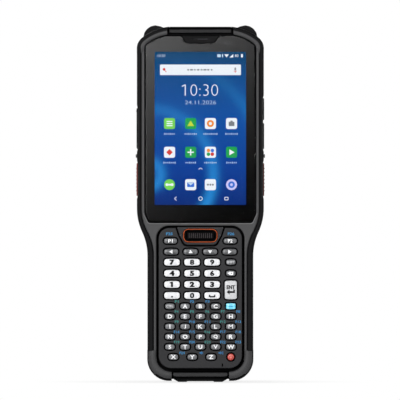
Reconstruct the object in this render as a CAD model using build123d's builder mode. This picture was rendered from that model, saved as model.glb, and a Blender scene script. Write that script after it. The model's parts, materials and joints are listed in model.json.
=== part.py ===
from build123d import *
from math import cos, radians, sin
import os

# Portable data terminal in millimetres.
# +X is the right of the screen, +Z is its top, and the screen looks along -Y.
# The origin is on the ground, under the middle of the case.

# ---- Widths, from the middle outwards ----
glass_half = 31.2
glass_gap = 0.5
screen_rim = 1.9
screen_rubber = 2.3
glass_taper = (2.3, 5.1)
glass_corner = 1.6
panel_margin = (4.1, 6.9)
panel_corner = 1.8
panel_fit = 0.2
fascia_half = 23.75
fascia_gap = 1.2
fascia_corners = (7.2, 6.0)
tray_margin = 1.5
tray_fit = 0.3
grip_rim = 1.75
grip_rubber = 3.2

# ---- Heights, from the ground upwards ----
foot_height = 0.85
base_radius = 12.2
fascia_bottom = 7.7
first_row = 14.2
letter_rise = 5.76
letter_rows = 6
digit_gap = 6.1
digit_rise = 6.3
arrow_gap = 5.95
program_gap = 6.15
scan_key_lift = 3.0
fascia_margin = 7.4
lip_height = 3.3
glass_length = 105.9
corner_radius = 7.4
corner_sweep = 51.6
crown_radius = 29.7
crown_sweep = 90 - corner_sweep
glass_crown_sweep = 28.6
shoulder_drop = 7.2
waist_above_glass = 7.8
waist_below_glass = 19.2

# ---- Depths ----
total_depth = 36.0
head_step = 4.0
rim_setback = 0.6
glass_setback = 0.4
receiver_gap = 0.15
receiver_setback = 0.2
receiver_slot = (7.0, 1.0)
notch_depth = 4.3
notch_halves = (8.0, 10.6)
notch_corner = 2.0
notch_inset = 0.1
notch_taper = 1.5
fascia_setback = 1.0
glass_thickness = 1.2
panel_thickness = 3.0
fascia_thickness = 1.2
fascia_bevel = 0.3
mic_column = 12.5
mic_rise = 1.9
mic_size = (1.7, 0.6)
deck_thickness = 2.8
parting_depth = 12.0
rubber_depth = 21.0
rubber_round = 1.2
wall = 2.2

# ---- Keypad ----
letter_pitch = 8.65
letter_size = (5.4, 3.0)
digit_pitch = 11.4
digit_shift = -4.7
digit_size = (8.8, 3.7)
arrow_pitch = 11.07
arrow_size = (8.0, 3.1)
program_size = (7.4, 3.0)
program_spread = 16.95
edge_column = 17.3
last_row_pitch = 10.7
last_row_shift = -4.6
enter_size = (6.9, 10.4)
power_diameter = 3.9
key_proud = 1.2
key_travel = 0.7
key_corner = 0.7
key_bevel = 0.35
key_well = 0.5
flange_reach = 0.9
flange_thickness = 0.5
flange_gap = 0.1
membrane_thickness = 1.0
board_thickness = 1.2

# ---- Scan key ----
scan_key_half = 7.8
scan_key_height = 4.3
scan_travel = 1.0
ring_half = 9.7
ring_height = 7.6
ring_wall = 0.75
scan_key_corner = 1.2
pod_halves = (8.7, 11.8, 13.4)
pod_drop = 5.4
pod_rise = 4.9
pod_corners = (1.6, 3.0, 0.8)
pod_gap = 0.7
pod_setback = 0.5
pod_bevel = 0.4
rib_count = 11
rib_pitch = 1.15
rib_width = 0.55
rib_height = 0.5
rib_margin = 0.7
scan_flange_reach = 0.3
ring_corner = 3.0
ring_fit = 0.05
ring_lip = 0.7
ring_setback = 0.5
ring_bevel = 0.3
scan_key_setback = 0.2

# ---- Side keys, cover and studs, heights above the lower edge of the glass ----
side_scan_span = (14.7, 33.5)
volume_down_span = (41.4, 56.2)
volume_up_span = (57.9, 70.4)
port_cover_span = (41.4, 64.7)
cover_width = 8.0
cover_depth = 1.2
cover_corner = 0.9
cover_bevel = 0.3
knuckle_radius = 0.8
pin_radius = 0.45
pin_fit = 0.05
pin_reach = 0.8
hinge_inset = 0.5
stud_rise = 37.5
side_key_width = 6.4
side_scan_width = 9.0
side_key_proud = 0.35
side_scan_proud = 0.6
side_travel = 0.6
side_key_bevel = 0.4
side_clearance = 0.25
side_middle = 11.0
window_corner = 1.6
hinge_corner = 0.2
stud_radius = 1.1
stud_proud = 0.8
stud_bevel = 0.25
socket_window = (47.2, 58.9)
socket_window_width = 5.6
socket_span = (48.6, 57.5)
socket_height = 3.2
socket_length = 7.4
socket_wall = 0.3
socket_setback = 0.4
socket_tongue = (0.7, 6.2)
socket_back = 1.2
socket_corner = 1.0
main_board_thickness = 1.4
board_margin = 1.0
shield_cans = ((10, 70, 26, 32), (-16, 78, 18, 22), (8, 30, 30, 20))
can_height = 1.8

# ---- Bars at the two ends ----
top_bar_half = 17.25
top_bar_height = 4.2
top_bar_drop = 0.1
top_bar_round = 2.4
top_bar_bevel = 1.0
bottom_bar_half = 15.4
bottom_bar_height = 5.4
bar_groove = 0.65
bottom_bar_depth = 29.4
bottom_bar_bevel = 0.6
feet_half = 8.0
feet_rise = 0.4
feet_step = 0.6
feet_margins = (3.0, 0.4)
feet_slope = (1.4, 2.2)
contact_count = 5
contact_pitch = 2.6
contact_size = (1.4, 2.4)
contact_depth = 0.8
bumper_groove = 1.2

# ---- Back ----
battery_half = 23.7
battery_low = 18.3
battery_length = 93.4
battery_depth = 14.3
battery_corner = 3.8
battery_fillet = 1.4
battery_fit = 0.3
bay_wall = 6.0
battery_proud = 0.6
latch_size = (16.0, 5.0)
latch_travel = 3.0
latch_corner = 1.2
latch_gap = 0.1
latch_rib_count = 3
latch_rib_pitch = 1.3
latch_rib_margin = 2.0
latch_groove = (0.5, 0.4)
back_inset = 0.6
back_fillet = 5.0
head_half = 32.6
head_slope = 10.0
head_corner = 2.0
head_cavity = 21.0
head_cavity_shift = 2.5
head_cavity_margin = 3.0
crown_slope = (5.0, 8.0)
ear_rise = 1.0
shelf_drop = 3.2
shelf_half = 15.8
ear_start = (12.0, 1.5)
ear_peak = 7.0
ear_shoulder = (2.4, 1.9)
ear_bend = (0.7, 4.1)
ear_end = 7.1
window_size = (30.0, 11.0)
window_round = 1.9
window_fit = 0.1
window_ledge = 1.35
window_depth = 4.4
window_thickness = 1.0
window_shaft = 16.0
engine_size = (24.0, 18.0, 11.0)
engine_drop = 20.0
engine_eyes = (-6.0, 5.0)
engine_eye_radius = 3.2
engine_eye_depth = 1.5
camera_size = (18.0, 8.5)
camera_depth = 1.0
camera_fit = 0.15
camera_lens = (-4.5, 3.0)
camera_lamp = (4.5, 1.6)
lens_recess = 0.4
window_behind_rubber = 6.9
camera_below_ears = 34.0
head_low_rise = 58.9
screw_radius = 2.1
screw_fit = 0.1
strap_hole_spread = 40.0
strap_hole_radius = 1.25
strap_hole_depth = 5.0
strap_above_battery = 13.0
upper_screw_columns = (-27.4, 27.4)
upper_screw_rises = (7.5, 31.5)
lower_screw_columns = (-13.5, 13.5)
lower_screw_row = 11.6
screw_shank = 1.0
screw_head = 1.6
screw_length = 8.0
screw_hole = 9.0
speaker_size = (20.0, 6.0)
speaker_above_battery = 23.0
speaker_depth = 1.2
speaker_fit = 0.2
speaker_slot = (1.0, 3.6)
speaker_slot_count = 6
speaker_slot_pitch = 2.2
latch_above_battery = 5.5
latch_recess = 1.6

# ---- Worked out from the sizes above ----
display_half = glass_half + glass_gap + screen_rim + screen_rubber
grip_half = fascia_half + fascia_gap + grip_rim + grip_rubber
top_letter_row = first_row + (letter_rows - 1) * letter_rise
first_digit_row = top_letter_row + digit_gap
top_digit_row = first_digit_row + 3 * digit_rise
arrow_row = top_digit_row + arrow_gap
program_row = arrow_row + program_gap
scan_row = program_row + scan_key_lift
fascia_top = program_row + fascia_margin
glass_bottom = fascia_top + lip_height
glass_top = glass_bottom + glass_length
shoulder = glass_top - shoulder_drop
waist_high = glass_bottom + waist_above_glass
waist_low = glass_bottom - waist_below_glass
panel_halves = (glass_half - panel_margin[0], glass_length / 2 - panel_margin[1])

front_face = -total_depth / 2
head_back = total_depth / 2
grip_back = head_back - head_step
rim_front = front_face + rim_setback
glass_front = rim_front + glass_setback
glass_back = glass_front + glass_thickness
panel_back = glass_back + panel_thickness
fascia_front = rim_front + fascia_setback
fascia_back = fascia_front + fascia_thickness
key_front = fascia_front - key_proud
flange_front = fascia_back + flange_gap
flange_back = flange_front + flange_thickness
membrane_front = flange_back + max(key_travel, scan_travel) + flange_gap
membrane_back = membrane_front + membrane_thickness
deck_front = membrane_back + board_thickness
deck_back = panel_back + deck_thickness
parting = front_face + parting_depth
rubber_back = front_face + rubber_depth
side_key_y = front_face + side_middle
bottom_bar_back = rim_front + bottom_bar_depth
pod_front = rim_front + pod_setback
ring_front = front_face + ring_setback
ring_seat = fascia_back - ring_lip
scan_key_front = ring_front + scan_key_setback
socket_seat = glass_half - 2
socket_mouth = display_half - screen_rubber - socket_setback
socket_y = deck_back + main_board_thickness + socket_height / 2
hinge_x = -(display_half - hinge_inset)
hinge_z = glass_bottom + port_cover_span[0] + knuckle_radius
hinge_length = cover_width + 2 * (side_clearance + pin_reach)

corner_centre = Vector(display_half - corner_radius, shoulder)
corner_lean = Vector(cos(radians(corner_sweep)), sin(radians(corner_sweep)))
crown_centre = corner_centre - corner_lean * (crown_radius - corner_radius)
crown_height = crown_centre.Y + crown_radius
top_bar_top = crown_height - top_bar_drop
top_bar_low = top_bar_top - top_bar_height
ear_top = crown_height + ear_rise
head_low = glass_bottom + head_low_rise
battery_top = battery_low + battery_length
bay_top = battery_top + bay_wall
window_middle = rubber_back + window_behind_rubber
camera_row = ear_top - camera_below_ears
strap_row = battery_top + strap_above_battery
speaker_row = battery_top + speaker_above_battery
latch_row = battery_top + latch_above_battery
screw_spots = [(x, battery_top + rise) for x in upper_screw_columns for rise in upper_screw_rises]
screw_spots += [(x, lower_screw_row) for x in lower_screw_columns]

os.makedirs("parts", exist_ok=True)


def facing(y):
    """The plane across the terminal at depth y, drawn as seen from the front."""
    return Plane.XZ.offset(-y)


def finish_half(half):
    """Fills the right half of an outline and mirrors it to the left."""
    make_face(half.edges())
    mirror(about=Plane.YZ)


def case_face(screen_inset, grip_inset):
    """The case outline, drawn in from the outside of the rubber."""
    upper_half = display_half - screen_inset
    lower_half = grip_half - grip_inset
    waist = ((upper_half + lower_half) / 2, (waist_low + waist_high) / 2)
    base_centre = (grip_half - base_radius, foot_height + base_radius)
    with BuildLine() as half:
        base = CenterArc(base_centre, base_radius - grip_inset, 0, -90)
        grip_side = Line(base @ 0, (lower_half, waist_low))
        flare = TangentArc(grip_side @ 1, waist, tangent=(0, 1))
        level = TangentArc(waist, (upper_half, waist_high), tangent=flare % 1)
        Line(level @ 1, (upper_half, shoulder))
        crown = top_corner(screen_inset)
        Line(crown @ 1, (0, (crown @ 1).Y))
        Line((0, (crown @ 1).Y), (0, (base @ 1).Y))
        Line((0, (base @ 1).Y), base @ 1)
    finish_half(half)


def top_corner(inset, sweep=crown_sweep):
    """The tight arc and the long arc of a top corner, concentric with the rubber's."""
    CenterArc(corner_centre, corner_radius - inset, 0, corner_sweep)
    return CenterArc(crown_centre, crown_radius - inset, corner_sweep, sweep)


def glass_face(grow=0.0):
    """The cover glass, with tapered lower corners."""
    side = glass_half + grow
    low = glass_bottom - grow
    taper = (side - glass_taper[0], low + glass_taper[1])
    with BuildLine() as half:
        FilletPolyline((0, low), (taper[0], low), (side, taper[1]), (side, shoulder), radius=glass_corner)
        crown = top_corner(display_half - side, glass_crown_sweep)
        Line(crown @ 1, (0, (crown @ 1).Y))
        Line((0, (crown @ 1).Y), (0, low))
    finish_half(half)


def receiver_face(grow=0.0):
    """The notch for the receiver, hanging from the upper edge of the glass."""
    low = glass_top - notch_depth - grow
    high = glass_top - notch_inset
    with BuildLine() as half:
        notch = FilletPolyline(
            (0, low), (notch_halves[0] + grow, low), (notch_halves[1] + grow, high), radius=notch_corner
        )
        Line(notch @ 1, (0, high))
        Line((0, high), notch @ 0)
    finish_half(half)


def fascia_face(grow=0.0):
    """The keypad plate, round at its lower corners and at its shoulders."""
    side = fascia_half + grow
    low = fascia_bottom - grow
    high = fascia_top + grow
    with BuildLine() as half:
        corners = [corner + grow for corner in fascia_corners]
        rim = FilletPolyline((0, low), (side, low), (side, high), (0, high), radius=corners)
        Line(rim @ 1, rim @ 0)
    finish_half(half)


def pod_face(grow=0.0):
    """The shield-shaped bezel of the scan key."""
    low = scan_row - pod_drop - grow
    high = scan_row + pod_rise + grow
    with BuildLine() as half:
        rim = FilletPolyline(
            (0, low),
            (pod_halves[0] + grow, low),
            (pod_halves[1] + grow, scan_row),
            (pod_halves[2] + grow, high),
            (0, high),
            radius=pod_corners,
        )
        Line(rim @ 1, rim @ 0)
    finish_half(half)


def bar_seat(half_width, low, high):
    """Clears the case round one of the end bars."""
    with Locations((0, (low + high) / 2)):
        Rectangle(2 * half_width, high - low, mode=Mode.SUBTRACT)


def side_block(side, span, width, inner, outer, corner, mode=Mode.ADD):
    """A rounded block through the side wall, over a span of heights above the lower edge of the glass."""
    with BuildSketch(Plane.YZ.offset(side * inner)) as outline:
        with Locations((side_key_y, glass_bottom + (span[0] + span[1]) / 2)):
            RectangleRounded(width, span[1] - span[0], corner)
    extrude(outline.sketch, amount=side * (outer - inner), mode=mode)


def cut_socket_opening():
    """Cuts the left wall where a plug goes into the port socket."""
    shape = (socket_window_width, socket_seat, display_half, socket_corner)
    side_block(-1, socket_window, *shape, Mode.SUBTRACT)


def widened(span, clearance):
    """A span with a clearance added at both ends."""
    return (span[0] - clearance, span[1] + clearance)


def cap_sketch(size, grow):
    """The outline of one key: a disc when both its sizes are equal, else a rectangle with cut corners."""
    width = size[0] + 2 * grow
    height = size[1] + 2 * grow
    with BuildSketch(mode=Mode.PRIVATE) as cap:
        if size[0] == size[1]:
            Circle(width / 2)
        else:
            Rectangle(width, height)
            chamfer(cap.vertices(), key_corner + grow / 3)
    return cap.sketch


def caps_face(caps, grow=0.0, mode=Mode.ADD):
    """The outlines of several keys, each (x, z, size)."""
    for x, z, size in caps:
        with Locations((x, z)):
            add(cap_sketch(size, grow), mode=mode)


def key_groups():
    """The keys that move as one piece, by the name of the piece."""
    letter_columns = [(column - 2) * letter_pitch for column in range(5)]
    digit_columns = [digit_shift + (column - 1) * digit_pitch for column in range(3)]
    last_columns = [last_row_shift + (column - 1) * last_row_pitch for column in range(3)]
    arrow_columns = [(column - 1.5) * arrow_pitch for column in range(4)]
    groups = {
        "key_p1": [(-program_spread, program_row, program_size)],
        "key_p2": [(program_spread, program_row, program_size)],
    }
    for name, x in zip(("left", "up", "down", "right"), arrow_columns):
        groups["key_" + name] = [(x, arrow_row, arrow_size)]
    digit_names = (("point", "0", "space"), ("1", "2", "3"), ("4", "5", "6"), ("7", "8", "9"))
    for row, names in enumerate(digit_names):
        for name, x in zip(names, digit_columns):
            groups["key_" + name] = [(x, first_digit_row + row * digit_rise, digit_size)]
    groups["key_shift"] = [(edge_column, top_digit_row, letter_size)]
    groups["key_backspace"] = [(edge_column, top_digit_row - digit_rise, letter_size)]
    groups["key_enter"] = [(edge_column, first_digit_row + digit_rise / 2, enter_size)]
    groups["key_function"] = [(edge_column, top_letter_row, letter_size)]
    groups["key_power"] = [(edge_column, first_row, (power_diameter, power_diameter))]
    row_columns = [letter_columns[:4]] + [letter_columns] * 4 + [last_columns]
    for row, columns in enumerate(row_columns):
        height = top_letter_row - row * letter_rise
        groups[f"letter_keys_row_{row + 1}"] = [(x, height, letter_size) for x in columns]
    return groups


# ---- Front housing: the rim, the glass seat, the keypad tray and the deck behind them ----
with BuildPart() as front_housing:
    with BuildSketch(facing(parting)):
        case_face(screen_rubber, grip_rubber)
        bar_seat(bottom_bar_half + bar_groove, 0, bottom_bar_height)
        bar_seat(top_bar_half + bar_groove, top_bar_low, top_bar_top)
    extrude(amount=parting - rim_front)
    with BuildSketch(facing(glass_back)):
        glass_face(glass_gap)
    extrude(amount=glass_back - rim_front, mode=Mode.SUBTRACT)
    with BuildSketch(facing(panel_back)):
        with Locations((0, (glass_bottom + glass_top) / 2)):
            panel_recess = [2 * (size + panel_fit) for size in panel_halves]
            RectangleRounded(*panel_recess, panel_corner + panel_fit)
    extrude(amount=panel_back - glass_back, mode=Mode.SUBTRACT)
    with BuildSketch(facing(fascia_back)):
        fascia_face(fascia_gap)
        pod_face(pod_gap)
    extrude(amount=fascia_back - rim_front, mode=Mode.SUBTRACT)
    with BuildSketch(facing(deck_front)):
        fascia_face(-tray_margin)
    extrude(amount=deck_front - fascia_back, mode=Mode.SUBTRACT)
    with BuildSketch(facing(parting)):
        case_face(screen_rubber + wall, grip_rubber + wall)
        with Locations((0, (waist_high + top_bar_low - wall) / 2)):
            Rectangle(2 * display_half, top_bar_low - wall - waist_high, mode=Mode.INTERSECT)
    extrude(amount=parting - deck_back, mode=Mode.SUBTRACT)
    cut_socket_opening()

front_housing.part.label = "front_housing"
export_step(front_housing.part, "parts/front_housing.step")

# ---- Rear housing: the inner band under the rubber, the outer back and the battery bay ----
with BuildPart() as rear_housing:
    with BuildSketch(facing(grip_back)):
        case_face(back_inset, back_inset)
    extrude(amount=grip_back - rubber_back)
    fillet(rear_housing.faces().sort_by(Axis.Y)[-1].edges(), back_fillet)
    with BuildSketch(facing(grip_back)):
        with Locations((0, head_low + glass_length)):
            Rectangle(4 * display_half, 2 * glass_length)
        with Locations((0, 0)):
            Rectangle(2 * (bottom_bar_half + bar_groove), 2 * bottom_bar_height)
    extrude(amount=grip_back - rubber_back, mode=Mode.SUBTRACT)
    with BuildSketch(facing(rubber_back)):
        case_face(screen_rubber, grip_rubber)
        bar_seat(bottom_bar_half + bar_groove, 0, bottom_bar_height)
        bar_seat(top_bar_half + bar_groove, top_bar_low, top_bar_top)
    extrude(amount=rubber_back - parting)
    with BuildSketch(facing(rubber_back)):
        case_face(screen_rubber + wall, grip_rubber + wall)
        with Locations((0, (bay_top + top_bar_low - wall) / 2)):
            Rectangle(2 * display_half, top_bar_low - wall - bay_top, mode=Mode.INTERSECT)
    extrude(amount=rubber_back - parting, mode=Mode.SUBTRACT)
    with BuildSketch(facing(grip_back)):
        with Locations((0, battery_low + battery_length / 2)):
            bay = (2 * (battery_half + battery_fit), battery_length + 2 * battery_fit)
            RectangleRounded(*bay, battery_corner + battery_fit)
    extrude(amount=battery_depth - battery_proud, mode=Mode.SUBTRACT)
    with BuildSketch(facing(grip_back)):
        with Locations((0, latch_row)):
            recess = (latch_size[0] + 2 * battery_fit, latch_size[1] + latch_travel + 2 * battery_fit)
            RectangleRounded(*recess, latch_corner + battery_fit)
    extrude(amount=latch_recess, mode=Mode.SUBTRACT)
    with BuildSketch(facing(grip_back)):
        with Locations((0, speaker_row)):
            SlotOverall(speaker_size[0] + 2 * speaker_fit, speaker_size[1] + 2 * speaker_fit)
    extrude(amount=speaker_depth, mode=Mode.SUBTRACT)
    cut_socket_opening()
    for spot in screw_spots:
        with Locations(facing(grip_back) * Pos(*spot) * Rot(0, 180, 0)):
            bores = [radius + screw_fit for radius in (screw_shank, screw_radius)]
            CounterBoreHole(*bores, screw_head + screw_fit, screw_hole)
    for side in (-1, 1):
        with Locations(facing(grip_back) * Pos(side * strap_hole_spread / 2, strap_row) * Rot(0, 180, 0)):
            Hole(strap_hole_radius, strap_hole_depth)

rear_housing.part.label = "rear_housing"
export_step(rear_housing.part, "parts/rear_housing.step")

# ---- Scan head cover: the block at the top of the back, with an ear at each corner ----
with BuildPart() as scan_head_cover:
    with BuildSketch(facing(head_back)):
        with BuildLine() as half:
            shelf = ear_top - shelf_drop
            ear_foot = (head_half - ear_start[0], ear_top - ear_start[1])
            ear_bulge = (head_half - ear_shoulder[0], ear_top - ear_shoulder[1])
            ear_shelf = Polyline((0, shelf), (shelf_half, shelf), ear_foot)
            ear = ThreePointArc(ear_foot, (head_half - ear_peak, ear_top), ear_bulge)
            ear_turn = (head_half - ear_bend[0], ear_top - ear_bend[1])
            ear_side = ThreePointArc(ear @ 1, ear_turn, (head_half, ear_top - ear_end))
            Polyline(ear_side @ 1, (head_half, head_low), (0, head_low), ear_shelf @ 0)
        finish_half(half)
    extrude(amount=head_back - rubber_back)
    with BuildSketch(Plane.YZ):
        with BuildLine():
            FilletPolyline(
                (rubber_back, head_low),
                (grip_back, head_low),
                (head_back, head_low + head_slope),
                (head_back, ear_top - crown_slope[1]),
                (head_back - crown_slope[0], ear_top),
                (rubber_back, ear_top),
                radius=head_corner,
                close=True,
            )
        make_face()
    extrude(amount=head_half, both=True, mode=Mode.INTERSECT)
    with BuildSketch(facing(head_back - wall)):
        with Locations((0, (head_low + ear_top) / 2 + head_cavity_shift)):
            cavity_width = 2 * (head_half - head_cavity_margin)
            RectangleRounded(cavity_width, ear_top - head_low - head_cavity, head_cavity_margin)
    extrude(amount=head_back - wall - rubber_back, mode=Mode.SUBTRACT)
    with BuildSketch(Plane.XY.offset(ear_top)):
        with Locations((0, window_middle)):
            seat = [size + 2 * window_fit for size in window_size]
            RectangleRounded(*seat, window_round + window_fit)
    extrude(amount=-window_depth, mode=Mode.SUBTRACT)
    with BuildSketch(Plane.XY.offset(ear_top)):
        with Locations((0, window_middle)):
            shaft = [size - 2 * window_ledge for size in window_size]
            RectangleRounded(*shaft, window_ledge)
    extrude(amount=-window_shaft, mode=Mode.SUBTRACT)
    with BuildSketch(facing(head_back)):
        with Locations((0, camera_row)):
            SlotOverall(camera_size[0] + 2 * camera_fit, camera_size[1] + 2 * camera_fit)
    extrude(amount=camera_depth, mode=Mode.SUBTRACT)

scan_head_cover.part.label = "scan_head_cover"
export_step(scan_head_cover.part, "parts/scan_head_cover.step")

# ---- Scan window and the engine behind it ----
with BuildPart() as scan_window:
    with BuildSketch(Plane.XY.offset(ear_top - window_depth)):
        with Locations((0, window_middle)):
            RectangleRounded(*window_size, window_round)
    extrude(amount=window_thickness)

scan_window.part.label = "scan_window"
export_step(scan_window.part, "parts/scan_window.step")

with BuildPart() as scan_engine:
    with BuildSketch(facing(head_back - wall)):
        with Locations((0, ear_top - engine_drop)):
            Rectangle(engine_size[0], engine_size[1])
    extrude(amount=engine_size[2])
    chamfer(scan_engine.edges().filter_by(Axis.Y), 1.0)
    with BuildSketch(Plane.XY.offset(ear_top - engine_drop + engine_size[1] / 2)):
        with Locations(*[(x, window_middle) for x in engine_eyes]):
            Circle(engine_eye_radius)
    extrude(amount=-engine_eye_depth, mode=Mode.SUBTRACT)

scan_engine.part.label = "scan_engine"
export_step(scan_engine.part, "parts/scan_engine.step")

# ---- Camera window on the back of the head ----
with BuildPart() as camera_window:
    with BuildSketch(facing(head_back)):
        with Locations((0, camera_row)):
            SlotOverall(camera_size[0], camera_size[1])
    extrude(amount=camera_depth)
    with BuildSketch(facing(head_back)):
        for x, radius in (camera_lens, camera_lamp):
            with Locations((x, camera_row)):
                Circle(radius)
    extrude(amount=lens_recess, mode=Mode.SUBTRACT)

camera_window.part.label = "camera_window"
export_step(camera_window.part, "parts/camera_window.step")

# ---- Rubber bumpers: from the groove beside the top bar, down the side, to the bottom bar ----
bumper_windows = {
    -1: [
        (side_scan_span, side_scan_width, window_corner),
        (port_cover_span, cover_width, hinge_corner),
    ],
    1: [
        (side_scan_span, side_scan_width, window_corner),
        (volume_down_span, side_key_width, window_corner),
        (volume_up_span, side_key_width, window_corner),
    ],
}
for side, name in ((-1, "bumper_left"), (1, "bumper_right")):
    with BuildPart() as bumper:
        with BuildSketch(facing(rubber_back)):
            case_face(0, 0)
        extrude(amount=rubber_depth)
        fillet(bumper.faces().sort_by(Axis.Y)[0].edges(), rubber_round)
        with BuildSketch(facing(rubber_back)):
            case_face(screen_rubber, grip_rubber)
        extrude(amount=rubber_depth, mode=Mode.SUBTRACT)
        top_end = top_bar_half + bar_groove + bumper_groove
        low_end = bottom_bar_half + bar_groove + side_clearance
        with BuildSketch(facing(rubber_back)):
            with Locations((side * (top_end - display_half), glass_top)):
                Rectangle(2 * display_half, glass_length)
            with Locations((side * (low_end - display_half), fascia_bottom)):
                Rectangle(2 * display_half, 2 * base_radius)
            with Locations((-side * display_half, glass_bottom)):
                Rectangle(2 * display_half, 2 * glass_length)
        extrude(amount=rubber_depth, mode=Mode.SUBTRACT)
        for span, width, corner in bumper_windows[side]:
            side_block(
                side,
                widened(span, side_clearance),
                width + 2 * side_clearance,
                glass_half,
                display_half + 1,
                corner,
                Mode.SUBTRACT,
            )
        with Locations(Plane.YZ * Pos(side_key_y, glass_bottom + stud_rise, side * display_half)):
            Cylinder(stud_radius, 4 * screen_rubber, mode=Mode.SUBTRACT)
        if side < 0:
            with Locations(Plane.XZ * Pos(hinge_x, hinge_z, -side_key_y)):
                Cylinder(pin_radius + pin_fit, hinge_length + 2 * side_clearance, mode=Mode.SUBTRACT)
    bumper.part.label = name
    export_step(bumper.part, f"parts/{name}.step")

# ---- Studs at both sides, where a strap or a grip hooks on ----
with BuildPart() as side_studs:
    for side in (-1, 1):
        with BuildSketch(Plane.YZ.offset(side * (display_half - screen_rubber))) as stud:
            with Locations((side_key_y, glass_bottom + stud_rise)):
                Circle(stud_radius)
        extrude(amount=side * (screen_rubber + stud_proud))
    for end in (-1, 0):
        chamfer(side_studs.faces().filter_by(Axis.X).group_by(Axis.X)[end].edges(), stud_bevel)

side_studs.part.label = "side_studs"
export_step(side_studs.part, "parts/side_studs.step")

# ---- Bars between the ends of the bumpers ----
with BuildPart() as top_bar:
    with BuildSketch(facing(rubber_back)):
        with Locations((0, (top_bar_low + top_bar_top) / 2)):
            Rectangle(2 * top_bar_half, top_bar_height)
    extrude(amount=rubber_depth)
    fillet(top_bar.edges().filter_by(Axis.X).group_by(Axis.Z)[-1].sort_by(Axis.Y)[0], top_bar_round)
    chamfer(top_bar.edges().filter_by(Axis.X).group_by(Axis.Z)[-1].sort_by(Axis.Y)[-1], top_bar_bevel)

top_bar.part.label = "top_bar"
export_step(top_bar.part, "parts/top_bar.step")

with BuildPart() as bottom_bar:
    with BuildSketch(facing(bottom_bar_back)):
        with BuildLine() as half:
            Polyline(
                (0, feet_rise),
                (feet_half - feet_step, feet_rise),
                (feet_half, 0),
                (bottom_bar_half - feet_margins[0], 0),
                (bottom_bar_half - feet_margins[1], feet_slope[0]),
                (bottom_bar_half, feet_slope[1]),
                (bottom_bar_half, bottom_bar_height),
                (0, bottom_bar_height),
                close=True,
            )
        finish_half(half)
    extrude(amount=bottom_bar_back - rim_front)
    chamfer(bottom_bar.faces().sort_by(Axis.Y)[0].edges().group_by(Axis.Z)[-1], bottom_bar_bevel)
    with BuildSketch(Plane.XY):
        with GridLocations(contact_pitch, 0, contact_count, 1):
            Rectangle(*contact_size)
    extrude(amount=contact_depth, mode=Mode.SUBTRACT)

bottom_bar.part.label = "bottom_bar"
export_step(bottom_bar.part, "parts/bottom_bar.step")

# ---- Screen: cover glass, receiver grille in its notch, display panel ----
with BuildPart() as cover_glass:
    with BuildSketch(facing(glass_back)):
        glass_face()
    extrude(amount=glass_thickness)
    with BuildSketch(facing(glass_back)):
        receiver_face(receiver_gap)
        with Locations((0, glass_top)):
            Rectangle(2 * (notch_halves[1] - notch_taper), 2 * notch_inset)
    extrude(amount=glass_thickness, mode=Mode.SUBTRACT)

cover_glass.part.label = "cover_glass"
export_step(cover_glass.part, "parts/cover_glass.step")

with BuildPart() as receiver_grille:
    with BuildSketch(facing(glass_back)):
        receiver_face()
        with Locations((0, glass_top - notch_depth / 2)):
            SlotOverall(*receiver_slot, mode=Mode.SUBTRACT)
    extrude(amount=glass_thickness - receiver_setback)

receiver_grille.part.label = "receiver_grille"
export_step(receiver_grille.part, "parts/receiver_grille.step")

with BuildPart() as display_panel:
    with BuildSketch(facing(panel_back)):
        with Locations((0, (glass_bottom + glass_top) / 2)):
            RectangleRounded(2 * panel_halves[0], 2 * panel_halves[1], panel_corner)
    extrude(amount=panel_thickness)

display_panel.part.label = "display_panel"
export_step(display_panel.part, "parts/display_panel.step")

# ---- Keypad: fascia, membrane, board ----
groups = key_groups()
with BuildPart() as keypad_fascia:
    with BuildSketch(facing(fascia_back)):
        fascia_face()
    extrude(amount=fascia_thickness)
    chamfer(keypad_fascia.faces().sort_by(Axis.Y)[0].edges(), fascia_bevel)
    with BuildSketch(facing(fascia_back)):
        pod_face(pod_gap)
        for caps in groups.values():
            caps_face(caps, key_well)
        with Locations((mic_column, fascia_bottom + mic_rise)):
            SlotOverall(*mic_size, rotation=90)
    extrude(amount=fascia_thickness, mode=Mode.SUBTRACT)

keypad_fascia.part.label = "keypad_fascia"
export_step(keypad_fascia.part, "parts/keypad_fascia.step")

with BuildPart() as keypad_membrane:
    with BuildSketch(facing(membrane_back)):
        fascia_face(-tray_margin - tray_fit)
    extrude(amount=membrane_back - membrane_front)

keypad_membrane.part.label = "keypad_membrane"
export_step(keypad_membrane.part, "parts/keypad_membrane.step")

with BuildPart() as keypad_board:
    with BuildSketch(facing(deck_front)):
        fascia_face(-tray_margin - tray_fit)
    extrude(amount=deck_front - membrane_back)

keypad_board.part.label = "keypad_board"
export_step(keypad_board.part, "parts/keypad_board.step")

# ---- Keys, each cap over a flange that holds it under the fascia ----
for name, caps in groups.items():
    with BuildPart() as key:
        with BuildSketch(facing(flange_back)):
            caps_face(caps, flange_reach)
        extrude(amount=flange_thickness)
        with BuildSketch(facing(flange_front)):
            caps_face(caps)
        extrude(amount=flange_front - key_front)
        chamfer(key.edges().group_by(Axis.Y)[0], key_bevel)
    key.part.label = name
    export_step(key.part, f"parts/{name}.step")

# ---- Scan key in its ring, on the pod ----
with BuildPart() as scan_key_pod:
    with BuildSketch(facing(fascia_back)):
        pod_face()
    extrude(amount=fascia_back - pod_front)
    chamfer(scan_key_pod.faces().sort_by(Axis.Y)[0].edges(), pod_bevel)
    with BuildSketch(facing(ring_seat)):
        with Locations((0, scan_row)):
            RectangleRounded(2 * (ring_half + ring_fit), ring_height + 2 * ring_fit, ring_corner)
    extrude(amount=ring_seat - front_face, mode=Mode.SUBTRACT)
    with BuildSketch(facing(fascia_back)):
        with Locations((0, scan_row)):
            well = (2 * (scan_key_half + key_well), scan_key_height + 2 * key_well)
            RectangleRounded(*well, scan_key_corner + key_well)
    extrude(amount=fascia_back - front_face, mode=Mode.SUBTRACT)

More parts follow.
